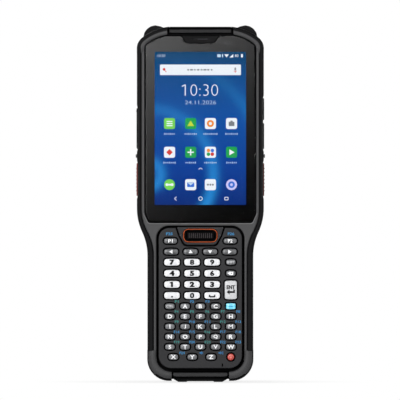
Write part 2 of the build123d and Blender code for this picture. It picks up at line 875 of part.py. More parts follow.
scan_key_pod.part.label = "scan_key_pod"
export_step(scan_key_pod.part, "parts/scan_key_pod.step")

with BuildPart() as scan_key_ring:
    with BuildSketch(facing(ring_seat)):
        with Locations((0, scan_row)):
            RectangleRounded(2 * ring_half, ring_height, ring_corner)
            RectangleRounded(
                2 * (ring_half - ring_wall),
                ring_height - 2 * ring_wall,
                ring_corner - ring_wall,
                mode=Mode.SUBTRACT,
            )
    extrude(amount=ring_seat - ring_front)
    chamfer(scan_key_ring.faces().sort_by(Axis.Y)[0].edges(), ring_bevel)

scan_key_ring.part.label = "scan_key_ring"
export_step(scan_key_ring.part, "parts/scan_key_ring.step")

with BuildPart() as scan_key:
    with BuildSketch(facing(flange_back)):
        with Locations((0, scan_row)):
            flange = (2 * (scan_key_half + flange_reach), scan_key_height + 2 * scan_flange_reach)
            RectangleRounded(*flange, scan_key_corner)
    extrude(amount=flange_thickness)
    with BuildSketch(facing(flange_front)):
        with Locations((0, scan_row)):
            RectangleRounded(2 * scan_key_half, scan_key_height, scan_key_corner)
    extrude(amount=flange_front - scan_key_front)
    chamfer(scan_key.faces().sort_by(Axis.Y)[0].edges(), pod_bevel)
    with BuildSketch(facing(scan_key_front)):
        with Locations((0, scan_row)):
            with GridLocations(rib_pitch, 0, rib_count, 1):
                Rectangle(rib_width, scan_key_height - 2 * rib_margin)
    extrude(amount=rib_height)

scan_key.part.label = "scan_key"
export_step(scan_key.part, "parts/scan_key.step")

# ---- Side keys, each in its window of the bumper ----
side_keys = (
    ("side_scan_key_left", -1, side_scan_span, side_scan_width, side_scan_proud),
    ("side_scan_key_right", 1, side_scan_span, side_scan_width, side_scan_proud),
    ("volume_down_key", 1, volume_down_span, side_key_width, side_key_proud),
    ("volume_up_key", 1, volume_up_span, side_key_width, side_key_proud),
)
for name, side, span, width, proud in side_keys:
    outer = display_half + proud
    inner = display_half - screen_rubber + side_travel + side_clearance
    with BuildPart() as key:
        side_block(side, span, width, inner, outer, window_corner - side_clearance)
        outer_face = key.faces().sort_by(lambda face: side * face.center().X)[-1]
        chamfer(outer_face.edges(), side_key_bevel)
    key.part.label = name
    export_step(key.part, f"parts/{name}.step")

# ---- Port cover, hinged at its lower end, and the socket behind it ----
with BuildPart() as port_cover:
    side_block(
        -1,
        (port_cover_span[0] + knuckle_radius, port_cover_span[1]),
        cover_width,
        display_half - cover_depth,
        display_half + side_key_proud,
        cover_corner,
    )
    chamfer(port_cover.faces().sort_by(Axis.X)[0].edges(), cover_bevel)
    with Locations(Plane.XZ * Pos(hinge_x, hinge_z, -side_key_y)):
        Cylinder(knuckle_radius, cover_width)
        Cylinder(pin_radius, hinge_length)

port_cover.part.label = "port_cover"
export_step(port_cover.part, "parts/port_cover.step")

with BuildPart() as port_socket:
    socket_width = socket_span[1] - socket_span[0]
    socket_middle = glass_bottom + (socket_span[0] + socket_span[1]) / 2
    with BuildSketch(Plane.YZ.offset(-socket_mouth)):
        with Locations((socket_y, socket_middle)):
            SlotOverall(socket_width, socket_height, rotation=90)
            inside = (socket_width - 2 * socket_wall, socket_height - 2 * socket_wall)
            SlotOverall(*inside, rotation=90, mode=Mode.SUBTRACT)
            Rectangle(*socket_tongue)
    extrude(amount=socket_length)
    with BuildSketch(Plane.YZ.offset(socket_length - socket_mouth)):
        with Locations((socket_y, socket_middle)):
            Rectangle(socket_height, socket_width)
    extrude(amount=socket_back)

port_socket.part.label = "port_socket"
export_step(port_socket.part, "parts/port_socket.step")

# ---- Main board with its shield cans ----
with BuildPart() as main_board:
    with BuildSketch(facing(deck_back + main_board_thickness)):
        with Locations((0, (waist_high + shoulder) / 2 + board_margin)):
            board_size = (2 * (glass_half - board_margin), shoulder - waist_high - 2 * board_margin)
            RectangleRounded(*board_size, panel_corner)
    extrude(amount=main_board_thickness)
    with BuildSketch(facing(deck_back + main_board_thickness)):
        for x, rise, width, height in shield_cans:
            with Locations((x, glass_bottom + rise)):
                Rectangle(width, height)
    extrude(amount=-can_height)

main_board.part.label = "main_board"
export_step(main_board.part, "parts/main_board.step")

# ---- Battery pack, its latch, the speaker grille and the screws ----
with BuildPart() as battery_pack:
    with BuildSketch(facing(grip_back + battery_proud)):
        with Locations((0, battery_low + battery_length / 2)):
            RectangleRounded(2 * battery_half, battery_length, battery_corner)
    extrude(amount=battery_depth)
    fillet(battery_pack.faces().sort_by(Axis.Y)[-1].edges(), battery_fillet)

battery_pack.part.label = "battery_pack"
export_step(battery_pack.part, "parts/battery_pack.step")

with BuildPart() as battery_latch:
    with BuildSketch(facing(grip_back - latch_recess + latch_gap)):
        with Locations((0, latch_row - latch_travel / 2)):
            RectangleRounded(*latch_size, latch_corner)
    extrude(amount=-(latch_recess - latch_gap + battery_proud))
    with BuildSketch(facing(grip_back + battery_proud)):
        with Locations((0, latch_row - latch_travel / 2)):
            with GridLocations(0, latch_rib_pitch, 1, latch_rib_count):
                Rectangle(latch_size[0] - 2 * latch_rib_margin, latch_groove[0])
    extrude(amount=latch_groove[1], mode=Mode.SUBTRACT)

battery_latch.part.label = "battery_latch"
export_step(battery_latch.part, "parts/battery_latch.step")

with BuildPart() as speaker_grille:
    with BuildSketch(facing(grip_back)):
        with Locations((0, speaker_row)):
            SlotOverall(speaker_size[0], speaker_size[1])
            with GridLocations(speaker_slot_pitch, 0, speaker_slot_count, 1):
                Rectangle(*speaker_slot, mode=Mode.SUBTRACT)
    extrude(amount=speaker_depth)

speaker_grille.part.label = "speaker_grille"
export_step(speaker_grille.part, "parts/speaker_grille.step")

with BuildPart() as housing_screws:
    for x, z in screw_spots:
        with BuildSketch(facing(grip_back - screw_fit)) as head:
            with Locations((x, z)):
                Circle(screw_radius)
        extrude(amount=screw_head)
        with BuildSketch(facing(grip_back - screw_fit - screw_head)) as shank:
            with Locations((x, z)):
                Circle(screw_shank)
        extrude(amount=screw_length - screw_head)

housing_screws.part.label = "housing_screws"
export_step(housing_screws.part, "parts/housing_screws.step")
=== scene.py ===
import bmesh
import bpy
import json
import numpy as np
from math import atan2, cos, degrees, pi, radians, sin, sqrt, tan
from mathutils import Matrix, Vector
from mathutils.geometry import delaunay_2d_cdt


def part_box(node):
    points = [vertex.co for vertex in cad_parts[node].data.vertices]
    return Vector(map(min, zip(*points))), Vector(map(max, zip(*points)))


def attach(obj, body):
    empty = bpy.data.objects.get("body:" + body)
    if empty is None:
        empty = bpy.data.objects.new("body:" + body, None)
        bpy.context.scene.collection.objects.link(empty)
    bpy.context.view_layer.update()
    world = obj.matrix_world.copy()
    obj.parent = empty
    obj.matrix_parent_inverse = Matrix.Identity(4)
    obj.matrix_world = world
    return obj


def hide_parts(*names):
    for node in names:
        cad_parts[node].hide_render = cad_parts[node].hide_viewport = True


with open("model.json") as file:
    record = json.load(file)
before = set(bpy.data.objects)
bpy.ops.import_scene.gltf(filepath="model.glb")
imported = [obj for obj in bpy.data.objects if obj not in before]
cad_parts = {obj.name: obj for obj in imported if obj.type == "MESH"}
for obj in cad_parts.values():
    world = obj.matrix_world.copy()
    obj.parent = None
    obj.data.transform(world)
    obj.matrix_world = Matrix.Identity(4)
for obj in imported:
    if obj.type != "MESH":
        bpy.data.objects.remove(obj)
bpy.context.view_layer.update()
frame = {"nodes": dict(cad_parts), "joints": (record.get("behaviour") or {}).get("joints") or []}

mm = 0.001


# lowest and highest corner of a CAD node, in millimetres
def edgesOf(node):
    low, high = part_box(node)
    return np.array(low) / mm, np.array(high) / mm


def middleOf(node):
    low, high = edgesOf(node)
    return (low + high) / 2


glassLow, glassHigh = edgesOf("cover_glass")
fasciaLow, fasciaHigh = edgesOf("keypad_fascia")
bumperLow, bumperHigh = edgesOf("bumper_right")
housingLow, housingHigh = edgesOf("front_housing")
topBarLow, topBarHigh = edgesOf("top_bar")
bottomBarLow, bottomBarHigh = edgesOf("bottom_bar")

# the case's outline in millimetres; the CAD nodes give the rest
caseSizes = {
    "screenRubber": 2.3,      # rubber beside the display
    "gripRubber": 3.2,        # rubber beside the keypad
    "gripRim": 1.75,
    "fasciaGap": 1.2,
    "glassGap": 0.5,
    "cornerRadius": 7.4,
    "cornerSweep": 51.6,      # degrees from the side to where the crown's wide arc takes over
    "crownRadius": 29.7,
    "footRadius": 12.2,
    "footHeight": 0.85,
    "waistAbove": 7.8,        # the waist's two ends, above and below the glass's lower edge
    "waistBelow": 19.2,
    "shoulderDrop": 7.2,      # from the glass's top to the corner's centre
    "barGroove": 0.65,
    "bumperGroove": 1.2,
    "lowClearance": 0.25,
}
# points on each run of the outline
caseSteps = {"foot": 19, "grip": 12, "flare": 10, "display": 72, "corner": 9, "crown": 12}
displayHalf = bumperHigh[0]
gripHalf = fasciaHigh[0] + caseSizes["fasciaGap"] + caseSizes["gripRim"] + caseSizes["gripRubber"]
shoulder = glassHigh[2] - caseSizes["shoulderDrop"]
waistHigh = glassLow[2] + caseSizes["waistAbove"]
waistLow = glassLow[2] - caseSizes["waistBelow"]
topBarHalf = topBarHigh[0]
bottomBarHalf = bottomBarHigh[0]
frontOut = -bumperLow[1]      # how far out towards the viewer the rubber stands
rimOut = -housingLow[1]
glassOut = -glassLow[1]
fasciaOut = -fasciaLow[1]
footCentre = np.array([gripHalf - caseSizes["footRadius"], caseSizes["footHeight"] + caseSizes["footRadius"]])

# the crown's arc starts at the end of the corner's arc and has the same slope there
cornerRadius, crownRadius = caseSizes["cornerRadius"], caseSizes["crownRadius"]
cornerSweep = caseSizes["cornerSweep"]
cornerCentre = np.array([displayHalf - cornerRadius, shoulder])
cornerSlope = np.array([cos(radians(cornerSweep)), sin(radians(cornerSweep))])
crownCentre = cornerCentre - (crownRadius - cornerRadius) * cornerSlope


# angle at which the crown's arc is at a place across
def crownAngle(x, radius):
    return degrees(np.arccos((x - crownCentre[0]) / radius))


# a colour written as it looks on screen, 0 to 255, as linear light
def shade(red, green, blue):
    value = np.array([red, green, blue]) / 255
    linear = np.where(value <= 0.04045, value / 12.92, ((value + 0.055) / 1.055) ** 2.4)
    return (*linear.tolist(), 1.0)


# outlines are anticlockwise points (right, up) in millimetres
# centre plus radius times the cosine and sine of evenly spaced angles
def arc(centre, radius, start, end, count):
    angle = np.radians(np.linspace(start, end, count))
    return np.stack([centre[0] + radius * np.cos(angle), centre[1] + radius * np.sin(angle)], 1)


def upright(x, low, high, count):
    return np.stack([np.full(count, x), np.linspace(low, high, count)], 1)


# drops points that repeat the one before
def tidyLoop(loop):
    gap = np.linalg.norm(loop - np.roll(loop, 1, axis=0), axis=1)
    return loop[gap > 1e-5]


# a polygon with each corner rounded by an arc that touches both its sides
def roundedLoop(corners, radii, steps=6):
    corners = np.array(corners, float)
    radii = np.broadcast_to(np.array(radii, float), (len(corners),))
    pieces = []
    for index, corner in enumerate(corners):
        before = corners[index - 1] - corner
        after = corners[(index + 1) % len(corners)] - corner
        before /= np.linalg.norm(before)
        after /= np.linalg.norm(after)
        if radii[index] <= 0:
            pieces.append(corner[None])
            continue
        half = np.arccos(np.clip(before @ after, -1, 1)) / 2
        middle = before + after
        centre = corner + middle / np.linalg.norm(middle) * radii[index] / sin(half)
        first = corner + before * radii[index] / tan(half) - centre
        last = corner + after * radii[index] / tan(half) - centre
        start = atan2(first[1], first[0])
        turn = (atan2(last[1], last[0]) - start + pi) % (2 * pi) - pi
        pieces.append(arc(centre, radii[index], degrees(start), degrees(start + turn), steps + 1))
    return tidyLoop(np.concatenate(pieces))


def rectLoop(width, height, radius, centre=(0, 0), steps=6):
    x, z = width / 2, height / 2
    loop = roundedLoop([(-x, -z), (x, -z), (x, z), (-x, z)], min(radius, x * 0.999, z * 0.999), steps)
    return loop + np.array(centre)


def circleLoop(radius, centre=(0, 0), count=32):
    return arc(centre, radius, 0, 360 * (1 - 1 / count), count)


# each point moves inwards by the same distance from both edges that meet there
def insetLoop(loop, amount):
    edge = np.roll(loop, -1, axis=0) - loop
    edge /= np.linalg.norm(edge, axis=1, keepdims=True)
    normal = np.stack([-edge[:, 1], edge[:, 0]], 1)
    before = np.roll(normal, 1, axis=0)
    share = 1 + np.sum(normal * before, axis=1, keepdims=True)
    return loop + amount * (normal + before) / np.maximum(share, 0.4)


# the right half and its mirror image, as one outline
def mirrored(half):
    half = np.array(half, float)
    return tidyLoop(np.concatenate([half, half[::-1] * np.array([-1, 1])]))


# right half of the case: foot arc, grip side, an S of two equal arcs, display side, corner arc, crown arc
def caseHalf(screenInset, gripInset, lowEnd=0.0, topEnd=None):
    upper = displayHalf - screenInset
    lower = gripHalf - gripInset
    footRadius = caseSizes["footRadius"] - gripInset
    crown = crownRadius - screenInset
    across, up = (upper - lower) / 2, (waistHigh - waistLow) / 2
    flareRadius = (across ** 2 + up ** 2) / (2 * across)
    turn = np.linspace(0, np.arcsin(up / flareRadius), caseSteps["flare"])
    flare = np.stack([lower + flareRadius * (1 - np.cos(turn)), waistLow + flareRadius * np.sin(turn)], 1)
    upperFlare = np.array([upper + lower, waistHigh + waistLow]) - flare[::-1]
    crownEnd = 90.0 if topEnd is None else crownAngle(topEnd, crown)
    pieces = [
        [[lowEnd, footCentre[1] - footRadius]],
        arc(footCentre, footRadius, -90, 0, caseSteps["foot"]),
        upright(lower, footCentre[1], waistLow, caseSteps["grip"])[1:-1],
        flare,
        upperFlare[1:],
        upright(upper, waistHigh, shoulder, caseSteps["display"])[1:-1],
        arc(cornerCentre, cornerRadius - screenInset, 0, cornerSweep, caseSteps["corner"]),
        arc(crownCentre, crown, cornerSweep, crownEnd, caseSteps["crown"])[1:],
    ]
    if topEnd is None:
        pieces.append([[0.0, crownCentre[1] + crown]])
    return np.concatenate(pieces)


# the housing inside the rubber, with the seats of the two bars cut out
def housingLoop(inset=0.0):
    half = caseHalf(
        caseSizes["screenRubber"] + inset,
        caseSizes["gripRubber"] + inset,
        lowEnd=bottomBarHalf + caseSizes["barGroove"],
        topEnd=topBarHalf + caseSizes["barGroove"],
    )
    low = np.array([[0, bottomBarHigh[2]], [half[0, 0], bottomBarHigh[2]]])
    high = np.array([[half[-1, 0], topBarLow[2]], [0, topBarLow[2]]])
    return mirrored(np.concatenate([low, half, high]))


glassSizes = {
    "cornerIn": 2.3, "cornerUp": 5.1, "cornerRound": 1.6,     # the tapered lower corners
    "crownSweep": 28.6,       # degrees of the crown's arc
    "thickness": 1.15, "clearBend": 1.45, "coatedBend": 1.12, "inkEdge": 0.03,
    "edge": [(0, 0.35), (0.1, 0.1), (0.35, 0), (0.7, 0)],     # inset and depth below the face
    "printGap": 0.03, "printThickness": 0.06, "printInset": 0.05,
}


# cover glass: tapered lower corners, straight sides, the case's corner arcs above, flat top
def glassLoop(grow=0.0):
    side = glassHigh[0] + grow
    low = glassLow[2] - grow
    inset = displayHalf - side
    radius = glassSizes["cornerRound"]
    foot = [(0, low), (side - glassSizes["cornerIn"], low)]
    foot += [(side, low + glassSizes["cornerUp"]), (side, shoulder)]
    half = np.concatenate([
        roundedLoop(foot, [0, radius, radius, 0]),
        arc(cornerCentre, cornerRadius - inset, 0, cornerSweep, 9)[1:],
        arc(crownCentre, crownRadius - inset, cornerSweep, cornerSweep + glassSizes["crownSweep"], 9)[1:],
    ])
    return mirrored(np.concatenate([half, [[0, half[-1, 1]]]]))


# profiles are (inset, depth below the face)
fasciaSizes = {
    "lowRadius": 7.2, "highRadius": 6.0, "podGap": 0.7, "darkBelow": 0.1,
    "edge": [(0.6, 0), (0.4, 0), (0.14, 0.1), (0, 0.35)],
    "wellEdge": [(0.16, 0), (0.06, 0.07), (0, 0.2)],
    "slit": (0.6, 1.7, 0.29), "slitPlace": (12.5, 1.9),       # microphone slit
}


def fasciaLoop(grow=0.0):
    side, low, high = fasciaHigh[0] + grow, fasciaLow[2] - grow, fasciaHigh[2] + grow
    lowRadius, highRadius = fasciaSizes["lowRadius"] + grow, fasciaSizes["highRadius"] + grow
    corners = [(-side, low), (side, low), (side, high), (-side, high)]
    return roundedLoop(corners, [lowRadius, lowRadius, highRadius, highRadius], 10)


scanRow = middleOf("scan_key")[2]
podSizes = {
    "lowHalf": 8.7, "midHalf": 11.8, "topHalf": 13.4, "drop": 5.4, "rise": 4.9, "radii": [3.2, 4.0, 0.8],
    "edge": [(0.5, 0), (0.18, 0.1), (0, 0.4)], "holeEdge": [(0.22, 0), (0.06, 0.08), (0, 0.25)],
    "ringGap": 0.25, "floorHole": (16.6, 5.3, 1.7),
}


def podLoop(grow=0.0):
    low, high = scanRow - podSizes["drop"] - grow, scanRow + podSizes["rise"] + grow
    right = [(podSizes["lowHalf"], low), (podSizes["midHalf"], scanRow), (podSizes["topHalf"], high)]
    right = np.array(right) + np.array([grow, 0])
    return roundedLoop(mirrored(right), podSizes["radii"] + podSizes["radii"][::-1], 6)


# forms are (points, faces); their local axes are right, up and out of the face
# rows by columns of points joined into quads, closed along either way and capped at either end
def gridForm(points, wrapRows=False, wrapColumns=True, caps=(True, True)):
    rows, columns = points.shape[:2]
    index = np.arange(rows * columns).reshape(rows, columns)
    down = np.roll(index, -1, axis=0) if wrapRows else index[1:]
    here = index if wrapRows else index[:-1]
    if wrapColumns:
        quads = [here, np.roll(here, -1, axis=1), np.roll(down, -1, axis=1), down]
    else:
        quads = [here[:, :-1], here[:, 1:], down[:, 1:], down[:, :-1]]
    faces = np.stack(quads, -1).reshape(-1, 4).tolist()
    if wrapRows and not wrapColumns:
        faces += [index[:, 0].tolist(), index[::-1, -1].tolist()]
    elif not wrapRows:
        if caps[0]:
            faces.append(index[0, ::-1].tolist())
        if caps[1]:
            faces.append(index[-1].tolist())
    return points.reshape(-1, 3), faces


def ringPoints(loop, out):
    return np.column_stack([loop, np.full(len(loop), float(out))])


# an outline carried through rings of (inset, out), from the back to the front
def slabForm(loop, rings, caps=(True, True)):
    return gridForm(np.stack([ringPoints(insetLoop(loop, inset), out) for inset, out in rings]), caps=caps)


# rings of (inset, out) from a profile of (inset, depth below a level)
def below(level, profile):
    return [(inset, level - depth) for inset, depth in profile]


# a block over a rounded rectangle of (width, height, radius)
def blockForm(shape, place, rings, steps=6):
    return slabForm(rectLoop(*shape, place, steps), rings)


# places at an even pitch about zero
def spaced(count, pitch):
    return (np.arange(count) - (count - 1) / 2) * pitch


# a quarter round at the front: the inset goes as one minus the cosine, the height as the sine
def roundRings(back, front, radius, steps=4):
    turn = np.linspace(0, pi / 2, steps + 1)
    return [(0, back)] + [(radius * (1 - cos(a)), front - radius * (1 - sin(a))) for a in turn]


# a profile of (radius, out) spun about the out axis
def turnedForm(profile, centre=(0, 0), count=32):
    turn = np.linspace(0, 2 * pi, count, endpoint=False)
    rows = [np.stack([centre[0] + r * np.cos(turn), centre[1] + r * np.sin(turn), np.full(count, out)], 1)
            for r, out in profile]
    return gridForm(np.stack(rows))


# a point is inside when a line to its right crosses the outline an odd number of times
def insideLoop(points, loop):
    x, z = points[:, :1], points[:, 1:]
    nextPoint = np.roll(loop, -1, axis=0)
    crosses = (loop[:, 1] > z) != (nextPoint[:, 1] > z)
    run = nextPoint[:, 1] - loop[:, 1]
    run = np.where(np.abs(run) < 1e-12, 1e-12, run)
    at = (nextPoint[:, 0] - loop[:, 0]) * (z - loop[:, 1]) / run + loop[:, 0]
    return np.sum(crosses & (x < at), axis=1) % 2 == 1


# triangles between an outer outline and the holes in it
def sheetForm(loops, out):
    points = np.concatenate(loops)
    starts = np.cumsum([0] + [len(loop) for loop in loops])
    edges = []
    for start, end in zip(starts[:-1], starts[1:]):
        here = np.arange(start, end)
        edges += np.stack([here, np.roll(here, -1)], 1).tolist()
    result = delaunay_2d_cdt([Vector(point) for point in points], edges, [], 0, 1e-6)
    flat = np.array([tuple(vertex) for vertex in result[0]])
    triangles = np.array(result[2])
    middle = flat[triangles].mean(axis=1)
    hits = sum(insideLoop(middle, loop).astype(int) for loop in loops)
    return ringPoints(flat, out), triangles[hits % 2 == 1].tolist()


# a plate with holes; the outline and each hole have rings of (inset, out) from the front to the back
def plateForm(outer, holes, outerRings, holeRings, closeBack=True):
    loops = [outer, *holes]
    ringSets = [outerRings] + [[(-inset, out) for inset, out in rings] for rings in holeRings]

    def flatFace(end):
        edges = [insetLoop(loop, rings[end][0]) for loop, rings in zip(loops, ringSets)]
        return sheetForm(edges, outerRings[end][1])

    walls = [slabForm(loop, rings, caps=(False, False)) for loop, rings in zip(loops, ringSets)]
    return joined(flatFace(0), *walls, *([flatFace(-1)] if closeBack else []))


def joined(*forms):
    points, faces, start = [], [], 0
    for form in forms:
        points.append(form[0])
        faces += [[index + start for index in face] for face in form[1]]
        start += len(form[0])
    return np.concatenate(points), faces


def moved(form, x, z):
    return form[0] + np.array([x, z, 0.0]), form[1]


# local right, up and out as seen when looking at that side of the terminal
sides = {
    "front": ((1, 0, 0), (0, 0, 1), (0, -1, 0)),
    "back": ((-1, 0, 0), (0, 0, 1), (0, 1, 0)),
    "right": ((0, 1, 0), (0, 0, 1), (1, 0, 0)),
    "left": ((0, -1, 0), (0, 0, 1), (-1, 0, 0)),
}


def facing(form, side):
    return form[0] @ np.array(sides[side], float), form[1]


def placeObject(name, data):
    thing = bpy.data.objects.new(name, data)
    bpy.context.scene.collection.objects.link(thing)
    return thing


# a new mesh with the object's modifiers worked out
def finishedMesh(thing):
    return bpy.data.meshes.new_from_object(thing.evaluated_get(bpy.context.evaluated_depsgraph_get()))


# a mesh value by name, as one array
def readAll(items, name, width=1, kind=np.float32):
    values = np.empty(len(items) * width, kind)
    items.foreach_get(name, values)
    return values.reshape(-1, width) if width > 1 else values


printThickness = 0.05


# letters or digits as a thin closed plate, fitted to a height, centred on a point
def textForm(text, height, x, z, out, thick=printThickness, bold=0.0, width=None, stretch=1.0):
    curve = bpy.data.curves.new("legend", "FONT")
    curve.body = text
    curve.size = 1.0
    curve.offset = bold
    curve.resolution_u = 3
    curve.extrude = 0.5
    carrier = placeObject("legend", curve)
    mesh = finishedMesh(carrier)
    points = readAll(mesh.vertices, "co", 3).astype(float)
    faces = [list(face.vertices) for face in mesh.polygons]
    bpy.data.objects.remove(carrier)
    bpy.data.curves.remove(curve)
    bpy.data.meshes.remove(mesh)
    low, high = points.min(axis=0), points.max(axis=0)
    scale = height / (high[1] - low[1])
    across = scale * stretch if width is None else width / (high[0] - low[0])
    points = (points - (low + high) / 2) * np.array([across, scale, thick])
    return points + np.array([x, z, out + thick / 2]), faces


# an outline as a thin closed plate, moved by a place
def glyphForm(loop, out, thick=printThickness, place=(0, 0)):
    return slabForm(np.array(loop, float) + np.array(place), [(0, out), (0, out + thick)])


print("forms ready")
paints = {}     # every material by its name


# a node group with the named inputs and outputs, filled in by build
def shaderGroup(name, inputs, outputs, build):
    group = bpy.data.node_groups.new(name, "ShaderNodeTree")
    for label, kind, value in inputs:
        socket = group.interface.new_socket(name=label, in_out="INPUT", socket_type=kind)
        if value is not None:
            socket.default_value = value
    for label in outputs:
        group.interface.new_socket(name=label, in_out="OUTPUT", socket_type="NodeSocketFloat")
    build(group, group.nodes.new("NodeGroupInput").outputs, group.nodes.new("NodeGroupOutput").inputs)
    return group


# a value is put on a socket, and another node's output is linked to it
def feed(tree, socket, value):
    if isinstance(value, bpy.types.NodeSocket):
        tree.links.new(value, socket)
    else:
        socket.default_value = value


def mathNode(tree, operation, *values, clamp=False):
    node = tree.nodes.new("ShaderNodeMath")
    node.operation = operation
    node.use_clamp = clamp
    for socket, value in zip(node.inputs, values):
        feed(tree, socket, value)
    return node.outputs[0]


# a node of a kind with its named sockets fed
def fedNode(tree, kind, **values):
    node = tree.nodes.new(kind)
    for label, value in values.items():
        feed(tree, node.inputs[label], value)
    return node


def noiseNode(tree, vector, scale, detail=2.0, roughness=0.5):
    node = fedNode(tree, "ShaderNodeTexNoise", Vector=vector, Scale=scale, Detail=detail, Roughness=roughness)
    return node.outputs["Fac"]


def vectorMath(tree, operation, *values):
    node = tree.nodes.new("ShaderNodeVectorMath")
    node.operation = operation
    for socket, value in zip(node.inputs, values):
        feed(tree, socket, value)
    return node


def splitVector(tree, vector):
    return fedNode(tree, "ShaderNodeSeparateXYZ", Vector=vector).outputs


def rangeNode(tree, value, fromRange, toRange=(0.0, 1.0)):
    node = tree.nodes.new("ShaderNodeMapRange")
    node.inputs["From Min"].default_value, node.inputs["From Max"].default_value = fromRange
    node.inputs["To Min"].default_value, node.inputs["To Max"].default_value = toRange
    tree.links.new(value, node.inputs["Value"])
    return node


# noise lies mostly between a quarter and three quarters, and is spread over the given range
def spread(tree, value, low, high):
    return rangeNode(tree, value, (0.25, 0.75), (low, high)).outputs["Result"]


# moulded surface: height is fine noise plus a third of a finer one, tone is a broad soft noise
def buildGrain(tree, source, target):
    vector, scale = source["Vector"], source["Scale"]
    fine = noiseNode(tree, vector, scale, 3.0, 0.6)
    finer = noiseNode(tree, vector, mathNode(tree, "MULTIPLY", scale, 2.7), 1.0)
    broad = noiseNode(tree, vector, 90.0, 4.0, 0.55)
    feed(tree, target["Height"], mathNode(tree, "MULTIPLY_ADD", finer, 0.33, fine))
    tone = mathNode(tree, "MULTIPLY_ADD", broad, 0.7, mathNode(tree, "MULTIPLY", fine, 0.3))
    feed(tree, target["Tone"], tone)


# worn edge and painted highlight: the stored edge value broken up by noise, which lightens the bevels both as
# wear and as light catching them
def buildEdgeWearAndHighlight(tree, source, target):
    patch = noiseNode(tree, source["Vector"], 420.0, 4.0, 0.7)
    strong = mathNode(tree, "MULTIPLY_ADD", patch, 1.6, -0.3, clamp=True)
    feed(tree, target["Mask"], mathNode(tree, "MULTIPLY", source["Edge"], strong, clamp=True))


# the fine rows and columns of a lit panel: the sines across and up, multiplied
def buildPixelRows(tree, source, target):
    split = splitVector(tree, source["Vector"])
    waves = []
    for axis in ("X", "Z"):
        phase = mathNode(tree, "MULTIPLY", split[axis], source["Scale"])
        waves.append(mathNode(tree, "ABSOLUTE", mathNode(tree, "SINE", phase)))
    both = mathNode(tree, "MULTIPLY", *waves)
    feed(tree, target["Level"], mathNode(tree, "MULTIPLY_ADD", both, 0.06, 0.96))


placeInput = ("Vector", "NodeSocketVector", None)
grainInputs = [placeInput, ("Scale", "NodeSocketFloat", 4000.0)]
wearAndHighlightInputs = [placeInput, ("Edge", "NodeSocketFloat", 0.0)]
pixelInputs = [placeInput, ("Scale", "NodeSocketFloat", 29000.0)]
grainGroup = shaderGroup("mouldedGrain", grainInputs, ["Height", "Tone"], buildGrain)
wearAndHighlightGroup = shaderGroup("edgeWearAndHighlight", wearAndHighlightInputs, ["Mask"], buildEdgeWearAndHighlight)
pixelGroup = shaderGroup("pixelRows", pixelInputs, ["Level"], buildPixelRows)
clear = (0.0, 0.0, 0.0, 1.0)


# a named material, with values for its shader and the piece's own place
def newMaterial(name, **values):
    material = bpy.data.materials.new(name)
    material.use_nodes = True
    paints[name] = material
    tree = material.node_tree
    shader = tree.nodes["Principled BSDF"]
    for label, value in values.items():
        shader.inputs[label].default_value = value
    return tree, shader, tree.nodes.new("ShaderNodeTexCoord").outputs["Object"]


def placeGroup(tree, group, where, **values):
    node = fedNode(tree, "ShaderNodeGroup")
    node.node_tree = group
    feed(tree, node.inputs["Vector"], where)
    for label, value in values.items():
        feed(tree, node.inputs[label], value)
    return node.outputs


def mixColours(tree, factor, first, second):
    node = tree.nodes.new("ShaderNodeMix")
    node.data_type = "RGBA"
    tree.links.new(factor, node.inputs["Factor"])
    feed(tree, node.inputs["A"], first)
    feed(tree, node.inputs["B"], second)
    return node.outputs["Result"]


# grain in the tone, the roughness and the bump; returns the colour
def addGrain(tree, shader, where, dark, light, roughness, scale, depth, strength):
    grain = placeGroup(tree, grainGroup, where, Scale=scale)
    feed(tree, shader.inputs["Roughness"], spread(tree, grain["Tone"], *roughness))
    bump = fedNode(tree, "ShaderNodeBump", Distance=depth, Strength=strength, Height=grain["Height"])
    feed(tree, shader.inputs["Normal"], bump.outputs["Normal"])
    return mixColours(tree, spread(tree, grain["Tone"], 0.0, 1.0), shade(*dark), shade(*light))


# moulded plastic or rubber: two close tones, worn edges that also carry a painted highlight, grain in the
# bump and in the roughness
def mouldedMaterial(name, dark, light, wornAndLitTone, roughness, scale, depth, specular, coat=0.0):
    values = {"Specular IOR Level": specular, "Coat Weight": coat, "Coat Roughness": 0.2}
    tree, shader, where = newMaterial(name, **values)
    colour = addGrain(tree, shader, where, dark, light, roughness, scale, depth, 0.6)
    edge = tree.nodes.new("ShaderNodeAttribute")
    edge.attribute_name = "edge"
    wearAndHighlight = placeGroup(tree, wearAndHighlightGroup, where, Edge=edge.outputs["Fac"])
    feed(tree, shader.inputs["Base Color"], mixColours(tree, wearAndHighlight["Mask"], colour, shade(*wornAndLitTone)))


# a lit mark on the display: its own colour, broken into the panel's rows
def litMaterial(name, colour):
    values = {"Emission Strength": 1.0, "Base Color": (0.01, 0.01, 0.01, 1.0), "Specular IOR Level": 0.0}
    tree, shader, where = newMaterial(name, **values)
    level = placeGroup(tree, pixelGroup, where)["Level"]
    feed(tree, shader.inputs["Emission Color"], mixColours(tree, level, clear, shade(*colour)))


# metal: brushed tone in the colour and the roughness
def metalMaterial(name, dark, light, roughness):
    tree, shader, where = newMaterial(name, Metallic=1.0)
    colour = addGrain(tree, shader, where, dark, light, roughness, 9000.0, 0.000004, 1.0)
    feed(tree, shader.inputs["Base Color"], colour)


# clear glass with a faint smear in its roughness; a small bend reflects little
def clearMaterial(name, bend):
    values = {"Base Color": (1, 1, 1, 1), "Transmission Weight": 1.0, "IOR": bend}
    tree, shader, where = newMaterial(name, **values)
    feed(tree, shader.inputs["Roughness"], spread(tree, noiseNode(tree, where, 60.0, 4.0, 0.6), 0.0, 0.045))
